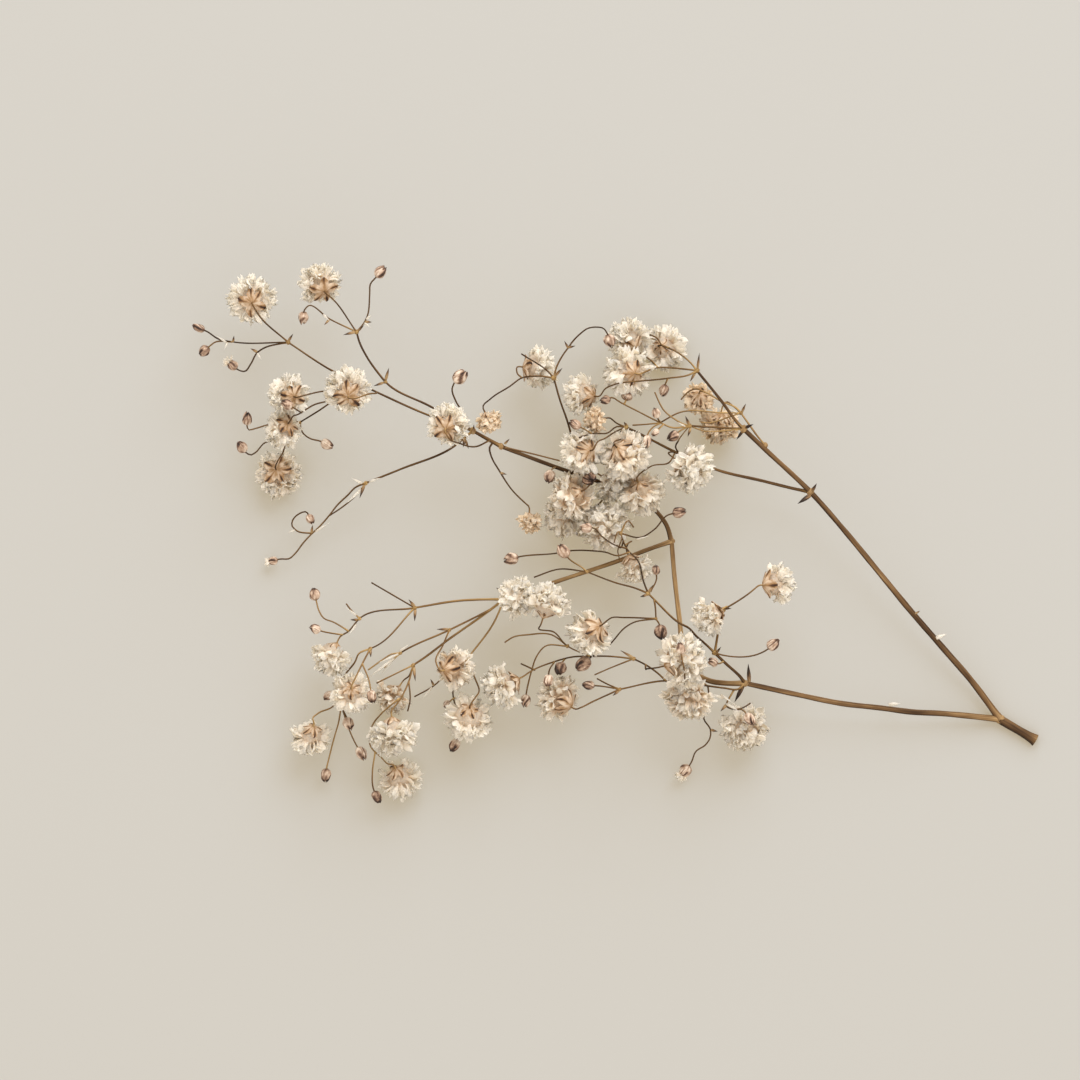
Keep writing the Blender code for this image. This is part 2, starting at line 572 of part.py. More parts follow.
def spray_top_left():
    part = Spray("spray_top_left")
    part.twig(0.6, 0.5, (-4.2, 10.1, 7.4), (-4.4, 13, 8.0), (-4.8, 16.5, 8.6), (-5.4, 18.7),
              (-6.6, 22.1, 10.5), "X1", seat=0.6)
    part.twig(0.5, 0.45, "X1", (-7.35, 27.5, 12.4), (-6.3, 29.6), (-5.3, 31, 13.6), (-4.5, 32.1),
              (-3.3, 33.3), (-2, 34.2, 15), (-0.5, 34.4), (0.55, 34.2), (1.2, 33.3, 14.6),
              (1.6, 32.2, 14.0), bud_size=1.1)
    part.twig(0.45, 0.45, "X1", (-8.4, 26.8, 12.3), (-13.1, 30, 12.8))
    part.twig(0.5, 0.45, "X1", (-10.5, 26.3, 12.0), (-13, 26, 11.4), (-15, 24.6, 12.3), (-18.3, 22.4, 15),
              bloom=6)
    part.twig(0.45, 0.45, (-13, 26, 11.4), (-14.2, 27, 9.6), bloom=8)
    part.joint("X1", radius=0.6)
    part.bract((-7.6, 26.2, 12.3), (-6.3, 27.6, 13.1), 0.9)
    part.bract((-5.3, 30.9, 13.6), (-6.0, 32.2, 14.2), 0.7)
    part.bract((-5.3, 31.0, 13.6), (-4.1, 31.3, 14.3), 0.7)
    return part


def spray_upper_left():
    part = Spray("spray_upper_left")
    part.twig(0.85, 0.8, "C1", (-18.9, 15.9, 11), "C3", seat=0.7)
    part.twig(0.6, 0.5, "C3", (-28.6, 19.8, 11.7), (-36.7, 23.4, 11.9), "V1", (-44.8, 27.3, 12.2), "L1")
    part.twig(0.6, 0.55, "C3", (-28.2, 21.2, 12.3), "U1", (-36.7, 26.5, 13.7), (-39, 29.8), (-40.1, 32.1),
              "U2")
    part.twig(0.45, 0.45, "U2", (-45.1, 39.6, 16.0), bloom=2)
    part.twig(0.45, 0.45, "U2", (-45, 35.75, 14.6), (-48.6, 37.9, 14.4), (-49.2, 37.2, 14),
              (-49.4, 36.0, 13.2), bud_size=1.05)
    part.twig(0.45, 0.45, "U2", (-39.2, 35.2, 14.8), (-38.8, 36), (-38.3, 40), (-38.2, 41.5, 15.6),
              (-37.2, 42.7), (-36.5, 43.5, 16), bud_size=1.1)
    part.twig(0.5, 0.45, (-22.4, 17.7, 11.6), (-22.8, 20, 12.4), (-24, 22.1, 13.6), (-24.6, 24.2),
              (-24.2, 25.2, 15.6), (-23.3, 26.1, 16.2), bud_size=1.35)
    part.twig(0.5, 0.45, (-18.4, 15.6, 10.9), (-20.4, 14.6, 13.4), (-23.2, 15.0, 18), (-25.2, 16.0, 20.5),
              bloom=5)
    part.twig(0.5, 0.45, (-17.8, 15.3, 10.8), (-18.4, 14.4, 10.6), (-18.2, 13.2, 10.4), (-16.7, 10.4, 9.8),
              (-14.55, 7.2), (-12.3, 5, 8.4), bloom=7)
    part.twig(0.5, 0.45, "L1", (-56.6, 36.2, 14.8), bloom=1)
    part.twig(0.45, 0.45, "L1", (-61.2, 32, 12.2), (-63.6, 32.5), (-65.4, 33.7), (-66.8, 34.3, 12.2),
              bud_size=0.8, bud_long=1.6)
    part.twig(0.45, 0.45, (-61.2, 32, 12.2), (-64.2, 31.9), (-65, 31.3, 11.6), (-65.9, 30.5, 11),
              bud_size=1.0)
    part.twig(0.5, 0.45, "L1", (-53.1, 31.7), (-56.1, 30.9, 11.8), (-57.1, 30.2), (-58.2, 28.3, 11),
              (-59.2, 27.1, 10.4), (-60.2, 27.3, 10.1), (-61.2, 28.1, 10.3), bud_size=1.05, bud_long=1.4)
    part.twig(0.5, 0.45, "V1", (-42, 23.9, 11.3), (-45.9, 23.8, 11.8), (-49.4, 23.0, 14.4), bloom=4)
    part.twig(0.5, 0.45, "V1", (-37.1, 23.4, 17.4), (-38.8, 23.1, 21), (-40.5, 22.5, 21.7), bloom=3)
    part.twig(0.5, 0.45, (-41.5, 23.9, 11.4), (-45.5, 22.1, 11.6), (-47.4, 21.6), (-50.3, 19.9, 12.6),
              (-51.2, 19.5, 13.6), bloom=19)
    part.twig(0.5, 0.45, (-43.3, 23.1, 11.5), (-46.05, 21.1, 10.2), "K1")
    part.twig(0.45, 0.45, "K1", (-49.6, 16.9, 8.0), (-48.3, 15.9), (-46.7, 15.5), (-45.6, 15.0, 8.2),
              bud_size=1.0)
    part.twig(0.45, 0.45, "K1", (-51.4, 17.4, 6.6), (-52.4, 15.4, 6.4), (-52.9, 13.6, 7.2),
              (-53.7, 12.3, 8.0), bloom=20)
    part.twig(0.45, 0.45, "K1", (-51.5, 18.9, 6.8), (-55.9, 18.1, 6.8), (-57.5, 17.6), (-58.65, 17.4, 7.8),
              (-58.9, 18.3), (-58.8, 19.2, 8.6), bud_size=1.05)
    part.twig(0.45, 0.45, (-52.4, 15.4, 6.4), (-56, 15.2, 6.4), (-57.5, 13.6), (-58.2, 13.2, 6.8),
              (-59.1, 13.6), (-59.7, 14.5, 7.4), bud_size=1.0)
    part.twig(0.45, 0.45, (-49.7, 20.2, 12.4), (-50.2, 20.5, 15), (-51.0, 21.0, 16.4), (-52, 21.5, 17),
              bud_size=0.95)
    part.joint("C3", radius=0.75)
    part.joint("U2", "L1", radius=0.55)
    part.bract((-35.7, 25.6, 13.7), (-35.1, 27.7, 14.4), 0.9)
    part.bract((-36.0, 25.2, 13.4), (-37.7, 24.6, 13.9), 0.8)
    part.bract((-40.7, 33.6, 14.6), (-42.7, 33.1, 15.0), 0.9)
    part.bract((-40.4, 33.7, 14.4), (-39.2, 34.7, 15.4), 0.8)
    part.bract((-61.1, 31.9, 12.2), (-60.9, 33.1, 12.8), 0.7)
    part.bract((-45.0, 35.7, 14.6), (-45.9, 34.7, 15.0), 0.7)
    part.bract((-16.6, 10.2, 9.8), (-15.5, 9.9, 10.4), 0.7)
    return part


def spray_left_low():
    part = Spray("spray_left_low")
    part.twig(0.6, 0.55, "C3", (-22.6, 16.0, 10.9), (-24.2, 14.7, 10.2), (-33.3, 10.8, 8.0), "W1",
              seat=0.75)
    part.twig(0.5, 0.45, "W1", (-40.8, 7.8), (-42.1, 6.5, 5.5), (-43.8, 4.9), (-45.3, 3, 4.5), (-46.9, 1.2),
              (-48.1, 0.1, 3.4), (-49.6, -1.5), (-50.9, -3.2), (-51.9, -4.1, 2.4), (-53.6, -4.2, 2.0),
              (-54.7, -4.5, 1.9), bud_size=0.8, bud_long=1.5)
    part.twig(0.45, 0.45, "W1", (-40.3, 6.9, 5.8), (-42.9, 4.6, 4.8), (-45.3, 3, 4.5))
    part.twig(0.45, 0.45, (-48.1, 0.1, 3.4), (-50.75, 0.6, 3.2), (-51.5, 1.5), (-51.3, 2.4, 3.4),
              (-50.4, 3.3), (-49.1, 3.7, 3.8), (-48.4, 2.5, 3.9), bud_size=0.85)
    part.joint("W1", radius=0.5)
    part.bract((-22.5, 16.1, 11.0), (-22.8, 14.4, 11.6), 1.0)
    part.bract((-39.3, 8.3, 6.4), (-40.1, 6.0, 6.9), 0.9)
    return part


def spray_lower_left():
    part = Spray("spray_lower_left")
    part.twig(0.65, 0.55, "D1", (-18.5, -10.9, 7.2), (-23.3, -11.1, 8.2), "P2", seat=0.7)
    part.twig(0.45, 0.45, "P2", (-38.1, -8.1, 10))
    part.twig(0.5, 0.45, "P2", "P1", (-41.9, -16.2, 9.4), bloom=27)
    part.twig(0.5, 0.45, "P2", (-37.6, -18.8), "P3")
    part.twig(0.45, 0.45, "P1", (-41.8, -12.3), (-42.3, -11.6, 10.2))
    part.twig(0.45, 0.45, (-41.9, -16.2, 9.4), (-44.4, -14.7, 9.9), (-46.1, -14), (-46.9, -12.7, 9.2),
              (-47.3, -11.2), (-47.6, -10.1, 8.6), bud_size=1.0)
    part.twig(0.45, 0.45, (-42.9, -16.8, 9.1), (-44.9, -16.5, 10.2), (-46.3, -16.2), (-47.4, -15.8, 11.2),
              bud_size=0.9)
    part.twig(0.5, 0.45, "P3", (-40.1, -19.85, 8.4), (-40.9, -21.4, 7.0), (-42.7, -23.8, 4.6),
              (-43.5, -26, 4.2), (-44.4, -28.6, 4.8), (-47, -29.9, 7), (-47.9, -30.9, 8.8), bloom=29)
    part.twig(0.5, 0.45, "P3", (-39.6, -21.6, 11.2), (-40.7, -23.9, 13.6), bloom=28)
    part.twig(0.45, 0.45, (-43.5, -26, 4.2), (-44.3, -26.3, 5.0), (-45.3, -27.0, 5.6), bud_size=0.9)
    part.twig(0.45, 0.45, (-39.6, -21.6, 11.2), (-38.4, -24.6, 13.4), (-38.0, -27, 14.2), bud_size=1.0)
    part.twig(0.45, 0.45, (-43.5, -26, 4.2), (-43.1, -29, 4.8), (-42.4, -30.4, 5.8), (-42, -31.6, 6.5),
              bud_size=1.1)
    part.twig(0.45, 0.45, (-43.2, -28.6, 4.7), (-43.7, -31.6, 4.4), (-44.4, -34, 3.9), (-45.3, -37.5, 3.4),
              (-45.7, -39.2, 3.0), (-45.8, -40.3, 2.7), bud_size=1.1)
    part.twig(0.45, 0.45, (-43.2, -28.6, 4.7), (-41.9, -32.7, 3.8), (-41, -34.7, 4.2), (-39.9, -36.6, 5.0),
              bud_size=1.1)
    part.joint("P2", radius=0.5)
    part.bract((-30.8, -12.5, 9.0), (-30.9, -14.6, 9.5), 0.9)
    part.bract((-30.9, -12.1, 9.2), (-31.9, -10.9, 9.8), 0.9)
    return part


def spray_lower_inner():
    part = Spray("spray_lower_inner")
    part.twig(0.65, 0.55, "D1", (-18.2, -12.6, 6.3), (-24.9, -17.35, 6.5), (-30.4, -21.4, 6.9), "Q1",
              seat=0.7)
    part.twig(0.55, 0.5, (-18.2, -12.6, 6.3), "Q2", (-32.9, -19.6, 7.9), "Q3")
    part.twig(0.45, 0.45, "Q1", (-37.3, -24.9, 7.6))
    part.twig(0.5, 0.45, "Q1", (-31.9, -24.6, 7.4), (-33.9, -28.4, 8.7), bloom=31)
    part.twig(0.45, 0.45, (-31.9, -24.6, 7.4), (-31.7, -27.8, 7.3), (-32.1, -29.6, 7.2))
    part.twig(0.45, 0.45, "Q1", (-31.8, -23.6, 5.4), bloom=44)
    part.twig(0.5, 0.45, "Q2", (-26.2, -18.6, 10.5), (-27.3, -21.4, 12.6), bloom=30)
    part.twig(0.45, 0.45, "Q3", (-34.9, -20.1), (-36, -20.8), (-38.7, -22.7, 6.8))
    part.twig(0.45, 0.45, "Q3", (-36, -22.3, 7.4))
    part.twig(0.45, 0.45, (-33.4, -27.4, 8.4), (-36.4, -29.9, 7.2), (-38.2, -32.5, 5.4),
              (-38.4, -35.2, 5.6), (-36.4, -37.4, 7.0), (-35.5, -38.3, 7.9), bloom=32)
    part.twig(0.45, 0.45, (-37.5, -36.3, 6.3), (-38.0, -40.0, 5.6), (-37.9, -42.3, 5.0),
              (-37.3, -43.9, 4.8), bud_size=1.0)
    part.joint("Q1", radius=0.5)
    part.bract((-31.1, -22.0, 6.8), (-30.8, -24.6, 6.9), 0.9)
    part.bract((-25.3, -15.9, 7.6), (-27.3, -15.9, 8.4), 0.8)
    return part


def spray_lower_middle():
    part = Spray("spray_lower_middle")
    part.twig(0.55, 0.5, "D1", (-16.6, -12.9, 5.9), (-17.6, -15.1, 5.6), "D2", seat=0.7)
    part.twig(0.45, 0.45, "D2", (-25.4, -23.2, 4.6), (-27.8, -25.4, 4.8), (-31.0, -27.2, 5.0))
    part.twig(0.45, 0.45, "D2", (-23.9, -24.7, 4.2), (-24.4, -25.5), (-24.3, -28.2, 3.2),
              (-23.7, -29.9, 2.9), (-23.2, -32.8, 2.8), (-23.8, -34.3), (-24.3, -35.3, 3.2), bud_size=1.1)
    part.twig(0.45, 0.45, (-24.3, -27.4, 3.4), (-25.0, -27.9, 4.4), (-25.5, -28.5, 5.2), bud_size=0.75)
    part.twig(0.5, 0.45, "D2", (-21, -23.75, 5.6), (-20.2, -26.4, 9.4), (-20.9, -27.4, 11.4), bloom=34)
    part.joint("D2", radius=0.5)
    part.bract((-27.7, -25.4, 4.8), (-28.3, -24.2, 5.3), 0.7)
    return part


def spray_lower_right():
    part = Spray("spray_lower_right")
    part.twig(0.75, 0.7, "B1", (23.2, -23.6, 9.4), (21, -21.6, 10.2), "G2", seat=0.85)
    part.twig(0.65, 0.55, "G2", (19.9, -15.1, 11.6), (20.4, -13), "G1")
    part.twig(0.5, 0.45, "G1", (23.3, -10.9, 14), (25.8, -9.0, 16), bloom=39)
    part.twig(0.45, 0.45, "G1", bloom=38)
    part.twig(0.45, 0.45, "G2", (20.6, -20.2, 11), (26.8, -19.8), (27.9, -19.2), (28.8, -18.4, 12.3),
              bud_size=1.1)
    part.twig(0.45, 0.45, (20.6, -21.2, 10.4), (19.8, -21.6, 11.6), (18.8, -21.3, 12.6), bud_size=0.9)
    part.joint("G1", "G2", radius=0.6)
    part.bract((20.6, -12.4, 12.6), (21.8, -12.4, 13.5), 0.8)
    return part


def spray_centre():
    part = Spray("spray_centre")
    part.twig(0.6, 0.55, "G2", (17.4, -18.2, 11.4), (16, -17), (14.7, -15.6), (13.5, -15, 11.9),
              (9.3, -11.2), "F1", seat=0.6)
    part.twig(0.5, 0.45, "F1", (5.8, -9), (2.85, -8.2), "C2")
    part.twig(0.5, 0.45, "F1", (7.2, -7.8, 12.1), (6.4, -4.6, 12), (4.4, -2.4, 12), "N7")
    part.twig(0.45, 0.45, (4.2, -1.8, 12.1), (5.3, -1.2, 10.2), (4.7, -1.6, 8.7), bloom=26)
    part.twig(0.45, 0.45, (3.9, -1.2, 12.1), (3.4, -2.3, 9.6), bloom=23)
    part.twig(0.45, 0.45, "N7", (4.7, 2.2, 12.7), (5.6, 1.1, 12.4))
    part.twig(0.45, 0.45, "N7", (6.8, -0.55, 12.4), (9.1, 0.8), (11.2, 3.1), (13.1, 3.6, 12), bud_size=1.05)
    part.twig(0.45, 0.45, (4.4, -2.4, 12), (2.6, -1.9, 13.3), (0.3, -0.4, 14.2), (-1.1, 1.0, 14.4),
              (-2.3, 1.0, 14.2), bud_size=0.95)
    part.twig(0.45, 0.45, (5.0, -3.0, 12), (2.75, -3.6, 12.3), (1, -3.05), (-1.3, -2.8, 12), (-5, -2.8, 11),
              (-7.25, -3.2), (-13.5, -3.8, 10.6), (-14.75, -4.1, 10.4), bud_size=1.15)
    part.twig(0.45, 0.45, "C2", (-2.6, -5.9), (-5.3, -4, 14), (-6.1, -2.9, 14.2), bud_size=1.2)
    part.twig(0.45, 0.45, "C2", (-6.8, -5.85, 14), (-11.0, -7.2, 14.4))
    part.twig(0.5, 0.45, (9.0, -10.9, 12.4), (9.2, -12.2, 12.2), "F3")
    part.twig(0.5, 0.45, "F3", (4, -13.9, 14.4), (1.7, -14.0, 15.9), bloom=37)
    part.twig(0.45, 0.45, "F3", (5.25, -14.9, 10.9), (4.3, -15.5), (1.4, -18.6, 10.2), (-1.1, -20.2, 10.5),
              (-2.75, -21.6, 10.9), bud_size=1.35)
    part.twig(0.45, 0.45, "F3", (9.9, -15.1, 11.3), (10.1, -16.3, 11.2), bud_size=1.2)
    part.twig(0.45, 0.45, (8.4, -9.6, 12.5), (9.4, -7.5, 13), (9.3, -6, 13.5), bud_size=0.8)
    part.twig(0.5, 0.45, (14.6, -15.6, 11.8), (15.1, -15.9, 17), (14.4, -17.4, 21), (13.4, -19.2, 21.9),
              bud_size=1.0)
    part.joint("F1", radius=0.55)
    part.bract((8.1, -9.7, 12.7), (8.8, -8.5, 13.6), 0.9)
    return part


def spray_lower_centre():
    part = Spray("spray_lower_centre")
    part.twig(0.55, 0.5, "B1", (23.0, -25.9, 8.9), (20.8, -25.7, 9.2), (17, -25.2, 8.9), (11, -24.5, 8.6),
              "E3", seat=0.85)
    part.twig(0.5, 0.45, "E3", (-0.9, -27.8, 9.5), (-3.2, -28.9, 11.2), bloom=36)
    part.twig(0.45, 0.45, "E3", (1.4, -25.1), (-0.5, -24.1, 9.4))
    part.twig(0.45, 0.45, "E3", (0.4, -25.4, 9.0), (-1.9, -25.2, 9.4), bud_size=0.85, bud_long=1.5)
    part.twig(0.5, 0.5, (11, -24.5, 8.6), (9.5, -23.1, 9), (7.6, -21.8), "E2")
    part.twig(0.5, 0.45, (7.6, -21.8, 9.2), (7.6, -22.5, 12), (7.9, -22.4, 15), bloom=40)
    part.twig(0.5, 0.45, "E2", (1.6, -20.4), (-1.7, -20.4, 8.0), (-4.5, -20.5), (-7.6, -21.3, 8.2),
              (-12.0, -23.2, 9), bloom=35)
    part.twig(0.45, 0.45, (-10.8, -22.7, 8.75), (-13.2, -21.6, 9.6))
    part.twig(0.45, 0.45, "E2", (1.6, -22.4, 8.9), (-0.9, -23.5, 8.6))
    part.twig(0.45, 0.45, (-1.7, -20.4, 8.0), "N6", (-7.75, -16.3, 11), (-10.2, -15.8, 13), bloom=43)
    part.twig(0.45, 0.45, "N6", (-8.1, -16.8, 8.9), (-12, -16.8), (-14.5, -17.2), (-15.9, -18.1, 9.2))
    part.twig(0.45, 0.45, "N6", (-9.1, -18.7, 8.4), (-10.6, -20.5), (-11.4, -22.8, 6.8),
              (-11.9, -24.7, 6.0), (-12.3, -26.7, 5.8), (-12.4, -27.8, 5.8), bud_size=1.0)
    part.twig(0.45, 0.45, (-5.9, -20.9, 8.1), (-6.4, -21.6, 9.4), (-6.6, -22.4, 10.2), bud_size=1.15)
    part.twig(0.45, 0.45, (-7.6, -21.3, 8.2), (-8.5, -22.9, 10.8), (-8.6, -24.4, 12.2), bud_size=1.05)
    part.twig(0.5, 0.45, (17.8, -25.3, 8.9), (16.6, -24.4, 9.0), bloom=41)
    part.twig(0.5, 0.45, (22.4, -25.9, 8.9), (21.1, -28.6, 7.6), (22.3, -29.3, 5.4), bloom=42)
    part.twig(0.45, 0.45, (21.1, -28.6, 7.6), (22.7, -29.2, 8.6), (23.8, -29.0), (25.1, -28.2, 9.4))
    part.twig(0.45, 0.45, (22.7, -29.2, 8.6), (24.0, -29.5, 10.8), (24.9, -30.8, 11.5), bud_size=1.1)
    part.twig(0.45, 0.45, (18, -25.3, 8.9), (18.2, -28.2, 7.2), (17.35, -30.8, 6), (18.5, -32.8, 5),
              (18.4, -34.1), (17.6, -35.3), (16.15, -36.25, 3.6), (15.2, -38.4, 2.6), (14.3, -39.6, 2.3),
              bud_size=1.1)
    part.joint("E2", radius=0.5)
    part.bract((5.5, -20.6, 9.4), (3.4, -19.4, 10), 0.8)
    part.bract((21.1, -28.5, 7.7), (20.1, -29.6, 8.4), 0.9)
    part.bract((18.5, -32.7, 5.0), (19.7, -33.0, 5.6), 0.8)
    return part


SPRAYS = (main_stem, spray_top_right, spray_right, spray_top_centre, spray_side, spray_top_left,
          spray_upper_left, spray_left_low, spray_lower_left, spray_lower_inner, spray_lower_middle,
          spray_lower_right, spray_centre, spray_lower_centre)


def build():
    for thing in list(bpy.data.objects):
        bpy.data.objects.remove(thing)
    for make in SPRAYS:
        part = make()
        solid = fuse(part.name, part.shapes)
        colour = STEM_BROWN if part.name == "main_stem" else STEM_TAN
        solid.data.materials.clear()
        solid.data.materials.append(material(part.name + "_dry_stem", colour, 0.7))
        if part.name in RESTING:
            flatten_below_table(solid)
    for number, bloom in BLOOMS.items():
        name = f"bloom_{number:02d}"
        solid = add_object(name, petal_head(bloom, number))
        colour = PETAL_OCHRE if bloom.ochre else PETAL_WHITE
        if name in RESTING:
            flatten_below_table(solid)
        solid.data.materials.clear()
        solid.data.materials.append(material(name + "_petals", colour, 0.85))


build()
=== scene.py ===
# %% [markdown]
# # A dried gypsophila stem
# The real thing is a spray of double baby's breath that has dried: a thin forked stem, ever finer
# twigs, ribbed buds, and white heads a few millimetres across. It lies on a pale table and the
# camera looks straight down on it. A CAD model gives every part its place and size. This file
# loads that model as a fixed frame and puts finer surfaces where its solids are.

# %% The tools and the frame
import math
from collections import namedtuple

import bpy
import numpy as np
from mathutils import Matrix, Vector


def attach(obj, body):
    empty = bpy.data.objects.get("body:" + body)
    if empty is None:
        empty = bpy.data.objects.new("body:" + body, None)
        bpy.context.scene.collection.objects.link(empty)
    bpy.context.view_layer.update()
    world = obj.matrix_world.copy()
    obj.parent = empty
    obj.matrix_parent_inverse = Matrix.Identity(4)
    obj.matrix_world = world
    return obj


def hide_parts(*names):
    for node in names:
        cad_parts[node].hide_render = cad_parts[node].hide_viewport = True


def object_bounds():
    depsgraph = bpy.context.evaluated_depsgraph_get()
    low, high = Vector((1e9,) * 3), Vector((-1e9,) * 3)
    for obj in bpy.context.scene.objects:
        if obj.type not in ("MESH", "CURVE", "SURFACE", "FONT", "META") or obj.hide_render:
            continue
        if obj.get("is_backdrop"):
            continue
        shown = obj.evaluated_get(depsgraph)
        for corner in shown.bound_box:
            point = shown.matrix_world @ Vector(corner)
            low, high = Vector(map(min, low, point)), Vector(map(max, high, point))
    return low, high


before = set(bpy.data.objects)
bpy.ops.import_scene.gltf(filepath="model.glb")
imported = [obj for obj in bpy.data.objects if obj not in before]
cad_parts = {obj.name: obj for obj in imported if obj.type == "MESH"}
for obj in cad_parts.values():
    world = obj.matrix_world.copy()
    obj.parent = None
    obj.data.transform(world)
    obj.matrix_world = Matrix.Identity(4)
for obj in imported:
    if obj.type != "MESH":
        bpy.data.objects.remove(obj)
cad_low, cad_high = (np.array(corner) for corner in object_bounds())
MM = 0.001  # a millimetre in Blender's metres
print("CAD box in mm:", ((cad_high - cad_low) / MM).round(1))

# %% [markdown]
# ## Millimetres on a plan
# A plant this small is easiest to think of in millimetres. The places below are read off a plan
# seen from above: x to the right, y up, z above the table. The plan's middle becomes the origin of
# the frame, and one number turns millimetres into Blender's metres.

# %% The plan's middle
PLAN_CENTRE = np.array([2.73, 0.085, 0.0])  # the same middle as the CAD model's


def unit(vectors):
    """Each vector divided by its own length."""
    return vectors / np.linalg.norm(vectors, axis=-1, keepdims=True)


print("1 unit is 1 m, the plan is in mm")

# %% [markdown]
# ## Joints
# Gypsophila branches at swollen joints, where two or three twigs and a pair of small bracts start
# together. Naming each joint once keeps the twigs that meet there joined, however a twig is moved.

# %% Where the joints are
JOINTS = {
    "stub": (73, -34.5, 0.8),
    "fork": (67, -31, 1.15),
    "R2": (35.1, 7, 8.5),
    "R3": (23.9, 17.5, 11),
    "R1": (16.1, 27.2, 13.5),
    "R4": (23.5, 20.2, 8.5),
    "A4": (27.5, 14.8, 10.1),
    "N5": (14.9, 18, 12.3),
    "B1": (24.2, -24.9, 8),
    "C0": (12, -1.2, 3),
    "C1": (-16.5, 14.6, 10.5),
    "C3": (-21.2, 17.2, 11.5),
    "D1": (-16, -10.9, 6.5),
    "M1": (4.3, 17.8, 11.5),
    "X1": (-7.7, 26, 12),
    "V1": (-38.6, 24.3, 12),
    "U1": (-35.7, 25.3, 13.5),
    "U2": (-40.5, 33.6, 14.5),
    "L1": (-51.9, 31.9, 12.5),
    "K1": (-50.1, 18.6, 8),
    "W1": (-39.1, 8.5, 6.5),
    "P1": (-40.1, -14.1, 9.5),
    "P2": (-30.9, -12.3, 9),
    "P3": (-38.3, -19.1, 8.8),
    "Q1": (-31.2, -21.9, 7),
    "Q2": (-25.1, -16, 7.5),
    "Q3": (-33.3, -19.85, 8),
    "D2": (-22.1, -20.8, 5),
    "G1": (20.5, -12.6, 12.5),
    "G2": (19.1, -19.8, 10.8),
    "F1": (8, -9.9, 12.5),
    "F3": (9.3, -14.1, 11.5),
    "C2": (-2.2, -6.3, 13.5),
    "N7": (3.4, 0.1, 12.3),
    "E2": (5.6, -20.8, 9.3),
    "E3": (3.3, -25.9, 8.5),
    "N6": (-5.4, -18.7, 8.6),
}

# %% [markdown]
# ## Blooms
# Each head is a small pompom on a five-lobed calyx. Seen from above, the calyx stands off the
# middle of the head by as much as the head leans, so two plan places and a radius say how it is
# turned: side 1 faces up, and side -1 hangs face down and shows its calyx. A few have withered to
# ochre.

